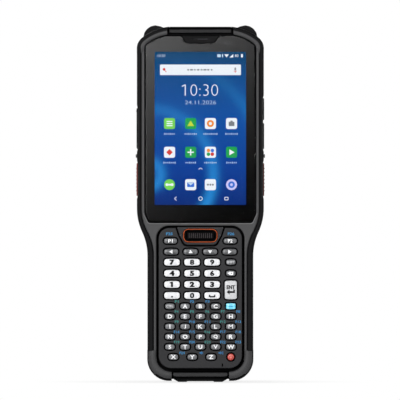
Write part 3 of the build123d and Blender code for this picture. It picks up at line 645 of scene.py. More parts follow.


# dark, light and worn tone (the worn tone is also a painted edge highlight), roughness from and to, grain
# scale, grain depth in metres, specular, coat
mouldedFinishes = {
    "casePlastic": ((40, 40, 42), (48, 48, 50), (84, 84, 86), (0.4, 0.6), 5000, 2e-5, 0.25),
    "rimPlastic": ((57, 57, 58), (65, 65, 66), (92, 92, 94), (0.4, 0.6), 5000, 1.5e-5, 0.2),
    # the lip's plastic, lighter than the rim's: painted highlight
    "lipPaintedHighlight": ((88, 88, 88), (98, 98, 98), (122, 122, 124), (0.4, 0.6), 5000, 1e-5, 0.3),
    "bumperRubber": ((18, 18, 19), (25, 25, 26), (40, 40, 42), (0.6, 0.75), 3500, 2e-5, 0.05),
    # the band's rubber painted lighter for the corner guards: painted light
    "cornerRubberPaintedLight": ((57, 57, 58), (67, 67, 68), (84, 84, 86), (0.45, 0.6), 3500, 2e-5, 0.15),
    "barPlastic": ((27, 27, 28), (35, 35, 36), (54, 54, 56), (0.45, 0.6), 5000, 1e-5, 0.12),
    # the bar's plastic painted lighter on its ridge: painted highlight
    "ridgePaintedHighlight": ((40, 40, 41), (48, 48, 49), (62, 62, 64), (0.45, 0.6), 3000, 1e-5, 0.14),
    "insertPlastic": ((10, 10, 11), (15, 15, 16), (30, 30, 32), (0.55, 0.7), 5000, 1e-5, 0.08),
    "fasciaPlastic": ((33, 33, 35), (41, 41, 43), (78, 79, 82), (0.45, 0.62), 6000, 1e-5, 0.16),
    "batteryPlastic": ((34, 34, 36), (42, 42, 44), (74, 74, 76), (0.5, 0.7), 4500, 2e-5, 0.35),
    # black plastic for black parts, also used as painted shade in gaps, grooves, recesses and rolled-away
    # edges
    "blackPlasticAndShade": ((3, 3, 4), (6, 6, 7), (12, 12, 13), (0.6, 0.8), 5000, 1e-5, 0.05),
    "earTexture": ((18, 18, 19), (32, 32, 33), (46, 46, 48), (0.65, 0.85), 2600, 3e-5, 0.06),
    "whiteKey": ((206, 207, 210), (222, 223, 226), (250, 250, 250), (0.35, 0.5), 4000, 6e-6, 0.4),
    "enterKey": ((180, 181, 183), (198, 199, 201), (206, 207, 209), (0.35, 0.5), 4000, 6e-6, 0.4),
    "greyKey": ((74, 75, 77), (92, 93, 95), (118, 119, 122), (0.35, 0.5), 4000, 6e-6, 0.4),
    "darkKey": ((64, 65, 67), (82, 83, 85), (108, 109, 112), (0.3, 0.45), 4000, 6e-6, 0.45),
    "functionKey": ((88, 198, 228), (106, 212, 240), (176, 238, 255), (0.35, 0.5), 4000, 6e-6, 0.4),
    "powerKey": ((206, 74, 64), (220, 92, 80), (232, 128, 114), (0.35, 0.5), 4000, 6e-6, 0.4),
    # the power key's red, darker for its rim: painted shade
    "powerPaintedShade": ((138, 34, 30), (156, 42, 36), (176, 60, 52), (0.4, 0.5), 4000, 4e-6, 0.35),
    "ringOrange": ((176, 62, 22), (198, 78, 30), (226, 112, 60), (0.25, 0.4), 3000, 4e-6, 0.5, 0.3),
    # the scan key's rubber, lighter for its ribs: painted highlight
    "scanRibPaintedHighlight": ((44, 41, 42), (54, 50, 51), (72, 68, 69), (0.6, 0.75), 4000, 1e-5, 0.08),
    # the side keys' red is darkened to how it looks in shade: painted shade in the colour
    "sideRed": ((88, 27, 20), (104, 34, 25), (140, 66, 54), (0.5, 0.65), 4000, 1e-5, 0.2),
    "sideDark": ((14, 14, 15), (20, 20, 21), (44, 44, 46), (0.45, 0.6), 4000, 1e-5, 0.2),
    "printWhite": ((226, 227, 230), (240, 241, 243), (250, 250, 250), (0.5, 0.6), 6000, 2e-6, 0.35),
    "printBlack": ((5, 5, 6), (9, 9, 10), (16, 16, 18), (0.6, 0.7), 6000, 2e-6, 0.1),
    "printGrey": ((186, 187, 190), (198, 199, 202), (210, 211, 214), (0.5, 0.6), 6000, 2e-6, 0.35),
    "printBlue": ((0, 90, 142), (2, 102, 156), (30, 124, 172), (0.5, 0.6), 6000, 2e-6, 0.35),
    "printTeal": ((0, 94, 92), (4, 106, 102), (40, 134, 128), (0.5, 0.6), 6000, 2e-6, 0.35),
    "powerInk": ((120, 30, 28), (132, 36, 32), (140, 60, 50), (0.5, 0.6), 6000, 2e-6, 0.35),
    "edgeInk": ((4, 4, 5), (7, 7, 8), (10, 10, 11), (0.5, 0.6), 3000, 1e-6, 0.1),
    "borderBlack": ((3, 3, 4), (5, 5, 6), (8, 8, 9), (0.7, 0.8), 3000, 1e-6, 0.0),
    "sensorTint": ((30, 30, 34), (40, 40, 44), (60, 60, 64), (0.2, 0.3), 2000, 1e-6, 0.35),
    "siliconeSheet": ((4, 4, 5), (8, 8, 9), (14, 14, 15), (0.7, 0.85), 5000, 1e-5, 0.05),
    "boardGreen": ((22, 74, 44), (30, 90, 54), (60, 120, 80), (0.3, 0.5), 2500, 1e-5, 0.35),
    "lensGlass": ((8, 8, 10), (14, 14, 17), (40, 40, 44), (0.04, 0.1), 900, 1e-6, 0.6, 1.0),
    "scanWindowRed": ((46, 10, 14), (60, 14, 20), (90, 30, 36), (0.05, 0.12), 900, 1e-6, 0.6, 1.0),
}
metalFinishes = {
    "socketSteel": ((170, 170, 172), (205, 205, 207), (0.3, 0.5)),
    "screwSteel": ((70, 70, 73), (98, 98, 101), (0.35, 0.55)),
}
litColours = {
    "litWhite": (238, 244, 250), "litSoft": (196, 220, 238), "litDim": (168, 198, 226),
    "litGrey": (120, 126, 132), "litRed": (214, 58, 52), "litGreen": (118, 214, 84),
    "litLeaf": (30, 164, 78), "litLime": (196, 216, 60), "litOrange": (240, 140, 44),
    "litBlue": (48, 110, 214), "litLilac": (206, 204, 244),
}
for name, finish in mouldedFinishes.items():
    mouldedMaterial(name, *finish)
for name, finish in metalFinishes.items():
    metalMaterial(name, *finish)
for name, colour in litColours.items():
    litMaterial(name, colour)
clearMaterial("clearGlass", glassSizes["clearBend"])
clearMaterial("coatedGlass", glassSizes["coatedBend"])
print("materials ready")

pieceRules = {
    "sharp": radians(32),     # steeper edges stay sharp
    "narrow": 0.2,            # faces narrower than this belong to a bevel
    "merge": 2e-7,            # points closer than this, in metres, become one
}


# stores 1 on the points whose faces are all narrow, which are those on bevels, and 0 elsewhere;
# a face's width is twice its area over its outline's length
def markEdges(mesh, narrow):
    points = readAll(mesh.vertices, "co", 3)
    corners = readAll(mesh.loops, "vertex_index", 1, np.int32)
    starts = readAll(mesh.polygons, "loop_start", 1, np.int32)
    sizes = readAll(mesh.polygons, "loop_total", 1, np.int32)
    following = np.arange(len(corners)) + 1
    following[starts + sizes - 1] = starts
    lengths = np.linalg.norm(points[corners[following]] - points[corners], axis=1)
    width = 2 * readAll(mesh.polygons, "area") / np.add.reduceat(lengths, starts)
    wide = np.bincount(corners, weights=np.repeat(width > narrow, sizes), minlength=len(points))
    attribute = mesh.attributes.new("edge", "FLOAT", "POINT")
    attribute.data.foreach_set("value", (wide == 0).astype(np.float32))


# turns the faces outwards, after doubles are merged
def turnOutwards(mesh, merge=True):
    work = bmesh.new()
    work.from_mesh(mesh)
    if merge:
        bmesh.ops.remove_doubles(work, verts=work.verts, dist=pieceRules["merge"])
        bmesh.ops.dissolve_degenerate(work, edges=work.edges, dist=1e-8)
    bmesh.ops.recalc_face_normals(work, faces=work.faces)
    work.to_mesh(mesh)
    work.free()


def smoothFaces(piece):
    piece.data.shade_smooth()
    piece.data.set_sharp_from_angle(angle=pieceRules["sharp"])
    piece.modifiers.new("weighted", "WEIGHTED_NORMAL").keep_sharp = True


# makes one piece from parts of (form, paint), and rides it on its body; the parts look to one side,
# or are in the terminal's own axes when face is None
def newPiece(name, parts, body="case", nodes=(), face="front", narrow=pieceRules["narrow"]):
    mesh = bpy.data.meshes.new(name)
    points, faces = joined(*[form if face is None else facing(form, face) for form, paint in parts])
    names = list(dict.fromkeys(paint for form, paint in parts))
    mesh.from_pydata((points * mm).tolist(), [], faces)
    slots = [names.index(paint) for form, paint in parts for _ in form[1]]
    mesh.polygons.foreach_set("material_index", slots)
    for paint in names:
        mesh.materials.append(paints[paint])
    turnOutwards(mesh)
    markEdges(mesh, narrow * mm)
    piece = placeObject(name, mesh)
    smoothFaces(piece)
    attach(piece, body)
    if nodes:
        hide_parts(*nodes)
    return piece


# cuts closed forms out of a piece and keeps the result in its mesh
def cutOut(piece, *forms):
    points, faces = joined(*forms)
    cutterMesh = bpy.data.meshes.new("cutter")
    cutterMesh.from_pydata((points * mm).tolist(), [], faces)
    turnOutwards(cutterMesh, merge=False)
    cutter = placeObject("cutter", cutterMesh)
    piece.modifiers.clear()
    modifier = piece.modifiers.new("cut", "BOOLEAN")
    modifier.operation = "DIFFERENCE"
    modifier.solver = "EXACT"
    modifier.object = cutter
    bpy.context.view_layer.update()
    old, piece.data = piece.data, finishedMesh(piece)
    piece.modifiers.remove(modifier)
    piece.data.name = piece.name
    bpy.data.meshes.remove(old)
    bpy.data.objects.remove(cutter)
    bpy.data.meshes.remove(cutterMesh)
    smoothFaces(piece)


# gives another paint to the faces whose centres pass the test
def paintWhere(piece, paint, test):
    piece.data.materials.append(paints[paint])
    centres = readAll(piece.data.polygons, "center", 3) / mm
    index = readAll(piece.data.polygons, "material_index", 1, np.int32)
    index[test(*centres.T)] = len(piece.data.materials) - 1
    piece.data.polygons.foreach_set("material_index", index)


# front housing: rim, glass seat and keypad tray as blind pockets; profiles are (inset, depth below the rim)
shellSizes = {
    "inset": 0.04, "seatDepth": 2.0, "trayDepth": 5.0,
    "rim": [(0.95, 0), (0.7, 0), (0.4, 0.12), (0.16, 0.45), (0.04, 0.9), (0, 1.4)],
    "seatLip": [(0.85, 0), (0.6, 0), (0.5, -0.09), (0.34, -0.13), (0.18, -0.05), (0.05, 0.2), (0, 0.6)],
    "trayLip": [(0.75, 0), (0.5, 0), (0.28, 0.07), (0.08, 0.24), (0, 0.5)],
    # painted highlight: the lip is painted lighter from lipRise over the rim up to lipTop
    "lipRise": 0.03, "lipTop": 22,        # the lip is lighter from this far over the rim, up to this height
    "darkFoot": 4, "darkHead": 0.4, "darkHeadSide": 2.5, "darkDepth": 0.35, "darkSide": 0.6,
}
glassHole = glassLoop(caseSizes["glassGap"])
trayHole = fasciaLoop(caseSizes["fasciaGap"])
shellOuter = housingLoop(shellSizes["inset"])
partingOut = -housingHigh[1]
glassFloor = glassOut - shellSizes["seatDepth"]
trayFloor = fasciaOut - shellSizes["trayDepth"]
seatRings = below(rimOut, shellSizes["seatLip"]) + [(0, glassFloor)]
trayRings = below(rimOut, shellSizes["trayLip"]) + [(0, trayFloor)]
shellRings = below(rimOut, shellSizes["rim"]) + [(0, partingOut)]
shellForm = joined(
    plateForm(shellOuter, [glassHole, trayHole], shellRings, [seatRings, trayRings], closeBack=False),
    sheetForm([shellOuter], partingOut),
    sheetForm([glassHole], glassFloor),
    sheetForm([trayHole], trayFloor),
)
frontShell = newPiece("frontShell", [(shellForm, "rimPlastic")], nodes=["front_housing"])
lipTop = glassLow[2] + shellSizes["lipTop"]
darkFoot = fasciaLow[2] + shellSizes["darkFoot"]
darkHead, headSide = glassHigh[2] - shellSizes["darkHead"], topBarHalf + shellSizes["darkHeadSide"]
darkDepth, darkSide = shellSizes["darkDepth"] - rimOut, glassHigh[0] + shellSizes["darkSide"]
# painted highlight: the raised lip round the glass seat, up to lipTop, is painted lighter
paintWhere(frontShell, "lipPaintedHighlight", lambda x, y, z: (y < -rimOut - shellSizes["lipRise"]) & (z < lipTop))
# painted shade: black below the keypad tray, along the head by the top bar and down the pocket walls
paintWhere(frontShell, "blackPlasticAndShade", lambda x, y, z: (z < darkFoot)
           | (z > darkHead) & (np.abs(x) < headSide) | (y > darkDepth) & (np.abs(x) < darkSide))
print("front shell done")

# bumpers: a rounded section carried along the case from the groove by the top bar to the bottom bar;
# the inner edge is (in from the inner wall, depth below the front)
bumperSizes = {
    "round": 2.0, "roundSteps": 9, "swell": 0.12,
    "backEdge": [(0.5, 0), (0.12, 0.2)], "swellRise": 0.7,    # inset and height over the back
    "innerEdge": [(0.5, 0.05), (0.22, 0.3), (0.06, 0.8), (0, 1.4)],
    "scoop": 0.45, "scoopRun": 1.5, "scoopReach": 1.2,        # the side is lower beside the keys in it
    "windowGap": 0.25, "windowRadius": 1.35, "windowDepth": 4,
}
bumperLowEnd = bottomBarHalf + caseSizes["barGroove"] + caseSizes["lowClearance"]
bumperTopEnd = topBarHalf + caseSizes["barGroove"] + caseSizes["bumperGroove"]


def bumperSection(width):
    back, swell = -bumperHigh[1], bumperSizes["swell"]
    edge = [(inset, back + rise) for inset, rise in bumperSizes["backEdge"]]
    edge.append((-swell, back + bumperSizes["swellRise"]))
    reach = width * 0.5
    for turn in np.linspace(0, pi / 2, bumperSizes["roundSteps"]):
        inset = reach * (1 - cos(turn)) - swell * cos(turn)
        edge.append((inset, frontOut - bumperSizes["round"] * (1 - sin(turn))))
    inner = [(width - inset, frontOut - depth) for inset, depth in bumperSizes["innerEdge"]]
    return edge + inner + [(width, back)]


def bumperBand(side, spans):
    screen, grip = [bumperSection(caseSizes[key]) for key in ("screenRubber", "gripRubber")]
    grid = np.stack([ringPoints(caseHalf(upper[0], lower[0], bumperLowEnd, bumperTopEnd), upper[1])
                     for upper, lower in zip(screen, grip)])
    scoop = np.zeros(grid.shape[:2])
    run, reach = bumperSizes["scoopRun"], bumperSizes["scoopReach"]
    for low, high in spans:
        ends = np.clip((grid[..., 1] - low) / run + 1, 0, 1) * np.clip((high - grid[..., 1]) / run + 1, 0, 1)
        scoop = np.maximum(scoop, ends)
    outside = np.clip((grid[..., 0] - displayHalf + reach) / reach, 0, 1)
    grid[..., 0] -= bumperSizes["scoop"] * scoop * outside
    grid[..., 0] *= side
    return gridForm(grid, wrapRows=True, wrapColumns=False)


# corner guards; profiles are (share of the way in, depth below the front)
guardSizes = {
    "grow": 0.17, "footGrow": 0.06, "trayRadius": 8.46, "traySide": 0.06, "trayDrop": 0.45, "footTop": 18.0,
    "foot": [(0, 3.2), (0.02, 2.4), (0.06, 1.7), (0.13, 1.1), (0.24, 0.6), (0.38, 0.22),
             (0.52, 0.04), (0.64, 0), (0.8, 0.08), (0.9, 0.3), (0.97, 0.65), (1, 1.2)],
    "footSink": (0.25, 0.35),             # how far the lower and the upper end sink below the band
    "footCut": 1.1, "footCutDrop": 0.3,
    "headLow": 3.0, "headGap": 0.06, "headEnd": 0.37, "headTail": (4.0, 2.6),     # degrees before its end
    "head": [(0, 3.6), (0.05, 2.5), (0.14, 1.5), (0.28, 0.7), (0.44, 0.22), (0.6, 0.02),
             (0.74, 0), (0.88, 0.14), (0.96, 0.45), (1, 1.1)],
    "headSink": 0.9, "headSinkRun": 12, "headTailSink": [0.0, 0.25, 0.8, 2.2],
    "darkDepth": 0.7, "darkTop": 4.5, "darkFootSide": 3, "darkHeadSide": 1.7,
}


# a guard over a corner: rings of (share, out) blend the case's outline into the inner one,
# and its ends sink below the band it covers
def guardForm(outer, inner, profile, side, sink):
    rows = []
    for share, out in [(0, 0)] + below(frontOut, profile) + [(1, 0)]:
        loop = outer * (1 - share) + inner * share
        rows.append(np.column_stack([loop[:, 0] * side, loop[:, 1], out - sink * (out > 1)]))
    return gridForm(np.stack(rows), wrapRows=True, wrapColumns=False)


def footGuard(side):
    trayRadius = guardSizes["trayRadius"]
    traySide = fasciaHigh[0] + caseSizes["fasciaGap"] + guardSizes["traySide"]
    trayLow = fasciaLow[2] - caseSizes["fasciaGap"] - guardSizes["trayDrop"]
    outer = arc(footCentre, caseSizes["footRadius"] + guardSizes["grow"] + guardSizes["footGrow"], -90, 0, 25)
    inner = arc((traySide - trayRadius, trayLow + trayRadius), trayRadius, -90, 0, 25)
    loops = []
    for curve in (outer, inner):
        rise = upright(curve[-1, 0], curve[-1, 1], guardSizes["footTop"], 7)[1:]
        loops.append(np.concatenate([[[bumperLowEnd, curve[0, 1]]], curve, rise]))
    sink = np.zeros(len(loops[0]))
    sink[0], sink[-1] = guardSizes["footSink"]
    return guardForm(*loops, guardSizes["foot"], side, sink)


def headGuard(side):
    tailStart, tailLast = guardSizes["headTail"]
    loops = []
    glassInset = displayHalf - glassHigh[0] - caseSizes["glassGap"] - guardSizes["headGap"]
    for inset in (-guardSizes["grow"], glassInset):
        radius = crownRadius - inset
        end = crownAngle(topBarHalf + guardSizes["headEnd"], radius)
        loops.append(np.concatenate([
            upright(displayHalf - inset, shoulder - guardSizes["headLow"], shoulder, 9)[:-1],
            arc(cornerCentre, cornerRadius - inset, 0, cornerSweep, 14),
            arc(crownCentre, radius, cornerSweep, end - tailStart, 16)[1:],
            arc(crownCentre, radius, end - tailLast, end, 4),
        ]))
    sink = np.zeros(len(loops[0]))
    run = guardSizes["headSinkRun"]
    sink[:run] = guardSizes["headSink"] * (1 - np.linspace(0, 1, run)) ** 2
    sink[-4:] = guardSizes["headTailSink"]
    return guardForm(*loops, guardSizes["head"], side, sink)


# the opening of a key or a cover in the band's side
def sideWindow(node, side):
    low, high = edgesOf(node)
    gap, middle = bumperSizes["windowGap"], middleOf(node)
    loop = rectLoop(high[1] - low[1] + 2 * gap, high[2] - low[2] + 2 * gap, bumperSizes["windowRadius"] + gap,
                    (middle[1] * side, middle[2]))
    depths = [(0, displayHalf - bumperSizes["windowDepth"]), (0, displayHalf + 2)]
    return facing(slabForm(loop, depths), "right" if side > 0 else "left")


# the band is lower under the foot guard, so that only the guard shows there
def footCut(side):
    inner, outer = bottomBarHalf - 1, gripHalf + 1
    low, high = -2.0, guardSizes["footTop"] - guardSizes["footCutDrop"]
    loop = rectLoop(outer - inner, high - low, 0.2, (side * (inner + outer) / 2, (low + high) / 2))
    return facing(slabForm(loop, [(0, frontOut - guardSizes["footCut"]), (0, frontOut + 1)]), "front")


footDark, footSide = guardSizes["darkDepth"] - frontOut, gripHalf - guardSizes["darkFootSide"]
guardHeadSide = topBarHalf + guardSizes["darkHeadSide"]
for side, end, keys in (
    (-1, "Left", ["side_scan_key_left", "port_cover"]),
    (1, "Right", ["side_scan_key_right", "volume_down_key", "volume_up_key"]),
):
    spans = [(edgesOf(key)[0][2], edgesOf(key)[1][2]) for key in keys]
    bumper = newPiece("bumper" + end, [(bumperBand(side, spans), "bumperRubber")],
                      nodes=["bumper_" + end.lower()])
    cutOut(bumper, footCut(side), *[sideWindow(key, side) for key in keys])
    # the corner guards are the same rubber as the band, painted lighter as painted light
    foot = newPiece("footGuard" + end, [(footGuard(side), "cornerRubberPaintedLight")])
    # painted shade: the foot guard's lower outer edge is painted black
    paintWhere(foot, "blackPlasticAndShade",
               lambda x, y, z: (y > footDark) & (z < guardSizes["darkTop"]) & (np.abs(x) < footSide))
    head = newPiece("headGuard" + end, [(headGuard(side), "cornerRubberPaintedLight")])
    # painted shade: the head guard's end by the top bar is painted black, as the dark slot there
    paintWhere(head, "blackPlasticAndShade", lambda x, y, z: np.abs(x) < guardHeadSide)
print("bumpers done")


# a bar: at each station across, its own section in depth and height, and both ends eased
def barForm(stations, sectionAt, ease=0.35):
    first, last = stations[0], stations[-1]
    ends = [(first, ease), (first + ease * 0.3, ease * 0.3), (first + ease, 0.0)]
    ends += [(x, 0.0) for x in stations[1:-1]]
    ends += [(last - ease, 0.0), (last - ease * 0.3, ease * 0.3), (last, ease)]
    rows = []
    for x, inset in ends:
        section = insetLoop(sectionAt(x), inset)
        rows.append(np.column_stack([np.full(len(section), x), section]))
    return gridForm(np.stack(rows))


# places in a bar's section are (depth behind its front, height over its lower edge)
topBarSizes = {
    "over": 0.35, "footDepth": 1.2, "topDepth": 2.6, "ridge": [(0.25, 2.5), (0, 1.0)],
    "radii": [0.4, 0.4, 0.9, 1.2, 0.7, 0.4], "litFrom": 0.8, "litTo": 2.6,
}
bottomBarSizes = {
    "archSide": (7.2, 8.0), "archHeight": 0.4,       # the middle stands clear of the floor
    "footEnds": (3.0, 0.4), "footRise": (1.4, 2.0),  # in from the bar's end, and how far the foot lifts there
    "stops": [6.0, 7.2, 8.0, 10.2], "endStops": [3.0, 2.0, 1.2, 0.0],
    "roll": [(0.7, 0), (0, 0.6), (0.1, 2.2)],        # depth, and drop from the upper edge
    "chin": [(1.5, 2.3), (1.9, 1.2), (3.0, 0.5)],    # depth, and height over the lower edge
    "footDepth": 4.6, "backRise": 0.3, "radii": [0.8, 0.5, 0.4, 0.3, 0.4, 0.4, 0.2, 0.2, 0.6],
    "ridge": 2.3, "ridgeDepth": 0.5, "darkFrom": 1.5, "darkDepth": 3,
}


# the ridge is low on the front, and the face rolls back from it above and below
def topSection(x):
    front, back, low, high = topBarLow[1], topBarHigh[1], topBarLow[2], topBarHigh[2]
    corners = [(front + topBarSizes["footDepth"], low), (back, low), (back, high)]
    corners.append((front + topBarSizes["topDepth"], high))
    corners += [(front + depth, low + rise) for depth, rise in topBarSizes["ridge"]]
    return roundedLoop(corners, topBarSizes["radii"], 6)


# the ridge is next to the keypad, and the face rolls back from it towards the feet
def bottomSection(x):
    front, back, high = bottomBarLow[1], bottomBarHigh[1], bottomBarHigh[2]
    ends = [bottomBarHalf - end for end in bottomBarSizes["footEnds"]]
    places = [*bottomBarSizes["archSide"], *ends, bottomBarHalf]
    low = np.interp(abs(x), places, [bottomBarSizes["archHeight"], 0.0, 0.0, *bottomBarSizes["footRise"]])
    corners = [(front + bottomBarSizes["footDepth"], low)]
    corners += [(back, low + bottomBarSizes["backRise"]), (back, high)]
    corners += [(front + depth, high - drop) for depth, drop in bottomBarSizes["roll"]]
    corners += [(front + depth, low + rise) for depth, rise in bottomBarSizes["chin"]]
    return roundedLoop(corners, bottomBarSizes["radii"], 4)


topReach = topBarHalf + topBarSizes["over"]
topForm = barForm(np.linspace(-topReach, topReach, 5), topSection)
topBar = newPiece("topBar", [(topForm, "barPlastic")], face=None, nodes=["top_bar"])
litFrom, litTo = [topBarLow[2] + topBarSizes[key] for key in ("litFrom", "litTo")]
# painted shade: the bar is black below litFrom and above litTo, where its face rolls away from the light
paintWhere(topBar, "blackPlasticAndShade", lambda x, y, z: (z < litFrom) | (z > litTo))
stops = np.array(bottomBarSizes["stops"] + [bottomBarHalf - end for end in bottomBarSizes["endStops"]])
bottomForm = barForm(np.concatenate([-stops[::-1], stops]), bottomSection)
bottomBar = newPiece("bottomBar", [(bottomForm, "barPlastic")], face=None,
                     nodes=["bottom_bar"])
ridgeLow, darkFrom = bottomBarHigh[2] - bottomBarSizes["ridge"], bottomBarSizes["darkFrom"]
ridgeDepth, chinDepth = [bottomBarLow[1] + bottomBarSizes[key] for key in ("ridgeDepth", "darkDepth")]
# painted highlight on the ridge next to the keypad, and painted shade, black, on the roll below it
paintWhere(bottomBar, "ridgePaintedHighlight", lambda x, y, z: (z > ridgeLow) & (y < ridgeDepth))
paintWhere(bottomBar, "blackPlasticAndShade", lambda x, y, z: (z < ridgeLow) & (z > darkFrom) & (y < chinDepth))
print("bars done")

notchSizes = {"depth": 4.3, "lowHalf": 8.0, "highHalf": 10.6, "corner": 2.0, "rise": 0.1, "gap": 0.15}
screenSizes = {
    "half": 25.92, "low": 100.55, "high": 187.4, "panelGrow": 0.5, "panelGap": 0.07, "panelThickness": 0.6,
}
sensorSizes = {"shape": (4.5, 1.7, 0.6), "place": (15.8, 192.1)}


def notchLoop(grow=0.0):
    low, high = glassHigh[2] - notchSizes["depth"] - grow, glassHigh[2] - notchSizes["rise"]
    right = [(notchSizes["lowHalf"] + grow, low), (notchSizes["highHalf"] + grow, high)]
    return roundedLoop(mirrored(right), [notchSizes["corner"], 0, 0, notchSizes["corner"]], 8)


# the glass outline with the notch taken out of its upper edge
def notchedGlass():
    outline = glassLoop()
    top = outline[:, 1].max()
    notch = notchLoop(notchSizes["gap"])
    notch = notch[notch[:, 1] < top - 0.02]
    notch = notch[np.argsort(-notch[:, 0])]
    ends = np.array([[notchSizes["highHalf"] + notchSizes["gap"] - 0.02, top]])
    right, left = outline[outline[:, 0] > 0.01], outline[outline[:, 0] < -0.01]
    return tidyLoop(np.concatenate([right, ends, notch, ends * [-1, 1], left]))


# an upright rectangle as large as the picture, or larger
def screenLoop(grow, radius):
    size = (2 * (screenSizes["half"] + grow), screenSizes["high"] - screenSizes["low"] + 2 * grow)
    return rectLoop(*size, radius, (0, (screenSizes["high"] + screenSizes["low"]) / 2), 2)


# the plate's two flat faces are split round the picture, where the glass is coated against glare
glassPlate = notchedGlass()
plateBack = glassOut - glassSizes["thickness"]
pictureLoop = screenLoop(0, 0.2)
frontInset = glassSizes["edge"][-1][0]
plateFaces = joined(
    slabForm(glassPlate, [(0, plateBack)] + below(glassOut, glassSizes["edge"]), caps=(False, False)),
    sheetForm([glassPlate, pictureLoop], plateBack),
    sheetForm([insetLoop(glassPlate, frontInset), pictureLoop], glassOut),
)
coatedFaces = joined(*[sheetForm([pictureLoop], out) for out in (plateBack, glassOut)])
coverGlass = newPiece("coverGlass", [(plateFaces, "clearGlass"), (coatedFaces, "coatedGlass")],
                      nodes=["cover_glass"], narrow=0.0)
inkFrom, inkTo = glassSizes["inkEdge"] - glassOut, -glassSizes["inkEdge"] - plateBack
paintWhere(coverGlass, "edgeInk", lambda x, y, z: (y > inkFrom) & (y < inkTo))

# printed border behind the glass, open where the picture is
borderOut = plateBack - glassSizes["printGap"]
borderBack = borderOut - glassSizes["printThickness"]
borderRings = [(glassSizes["printInset"], borderOut), (glassSizes["printInset"], borderBack)]
borderForm = plateForm(glassPlate, [pictureLoop], borderRings, [[(0, borderOut), (0, borderBack)]])
sensorForm = glyphForm(rectLoop(*sensorSizes["shape"], sensorSizes["place"]), borderOut, 0.01)
newPiece("glassBorder", [(borderForm, "borderBlack"), (sensorForm, "sensorTint")])

# wallpaper: a blue slope with a few wide soft rings about a point low on the left
paperSizes = {
    "slope": [(0.0, (6, 44, 120)), (0.25, (6, 62, 150)), (0.55, (10, 78, 160)), (0.85, (10, 74, 136)),
              (1.0, (12, 66, 108))],
    "centre": (0.030, 0.0, -0.118),       # in metres, the other way round
    "rings": 210.0, "sharpness": 7.0, "glow": 0.75, "ringColour": (40, 150, 226),
}


def wallpaperMaterial():
    values = {"Emission Strength": 1.0, "Base Color": (0.005, 0.005, 0.01, 1), "Specular IOR Level": 0.0}
    tree, shader, where = newMaterial("wallpaper", **values)
    span = (screenSizes["low"] * mm, screenSizes["high"] * mm)
    rise = rangeNode(tree, splitVector(tree, where)["Z"], span).outputs["Result"]
    ramp = fedNode(tree, "ShaderNodeValToRGB", Fac=rise)
    while len(ramp.color_ramp.elements) < len(paperSizes["slope"]):
        ramp.color_ramp.elements.new(0.5)
    for element, (place, colour) in zip(ramp.color_ramp.elements, paperSizes["slope"]):
        element.position = place
        element.color = shade(*colour)
    centred = fedNode(tree, "ShaderNodeMapping", Location=paperSizes["centre"], Vector=where)
    flat = vectorMath(tree, "MULTIPLY", centred.outputs["Vector"], (1.0, 0.0, 1.0)).outputs["Vector"]
    away = vectorMath(tree, "LENGTH", flat).outputs["Value"]
    # the sine of the distance, raised to a power, and fading upwards
    wave = mathNode(tree, "SINE", mathNode(tree, "MULTIPLY", away, paperSizes["rings"]))
    crest = mathNode(tree, "POWER", mathNode(tree, "MULTIPLY_ADD", wave, 0.5, 0.5), paperSizes["sharpness"])
    fade = mathNode(tree, "MULTIPLY", crest, mathNode(tree, "SUBTRACT", 1.0, rise, clamp=True))
    glow = mathNode(tree, "MULTIPLY", fade, paperSizes["glow"], clamp=True)
    picture = mixColours(tree, glow, ramp.outputs["Color"], shade(*paperSizes["ringColour"]))
    level = placeGroup(tree, pixelGroup, where)["Level"]
    feed(tree, shader.inputs["Emission Color"], mixColours(tree, level, clear, picture))


wallpaperMaterial()
panelOut = borderOut - screenSizes["panelGap"]
panelForm = slabForm(screenLoop(screenSizes["panelGrow"], 0.4),
                     [(0, panelOut - screenSizes["panelThickness"]), (0, panelOut)])
newPiece("litPanel", [(panelForm, "wallpaper")], nodes=["display_panel"])

# marks on the display: rows are heights, icon columns are places across
markSizes = {
    "thin": 0.01, "gap": 0.005, "over": 0.014, "onTop": 0.012,
    "statusRow": 185.2, "searchRow": 177.2, "clockRow": 165.7, "dateRow": 158.7, "navRow": 104.1,
    "iconColumns": (-17.5, -5.5, 5.7, 17.7), "iconRows": {"upper": 146.7, "lower": 130.4, "dock": 112.0},
    "icon": 6.3, "iconRadius": 1.1, "roundIcon": 3.1,
    "labelDrop": 5.9, "labelPitch": 1.05, "labelDash": (0.66, 0.8, 0.25), "tallDash": (0.66, 1.15, 0.25),
    "labelWidths": {"upper": (6.6, 8.2, 8.6, 7.6), "lower": (8.0, 7.0, 7.6, 7.2)},
    "searchDashes": (1.0, 1.6, 0.8, 1.3, 1.0, 1.7, 1.2, 0.9), "dashPitch": 1.9, "dashStart": -6.9,
}
markOut = panelOut + markSizes["gap"]
overOut = markOut + markSizes["over"]
topOut = overOut + markSizes["onTop"]
thin = markSizes["thin"]
iconGrounds = {
    "upper": ("litGreen", "litLeaf", "litWhite", "litWhite"),
    "lower": ("litWhite", "litLeaf", "litWhite", "litLeaf"),
    "dock": ("litGreen", "litWhite", "litWhite", "litLilac"),
}


def disc(radius, count=20):
    return circleLoop(radius, count=count)


def bar(width, height, radius=0.2):
    return rectLoop(width, height, radius, steps=3)


# an outline as a lit mark, with its paint
def lit(loop, x, z, paint, out=markOut):
    return glyphForm(loop, out, thin, (x, z)), paint


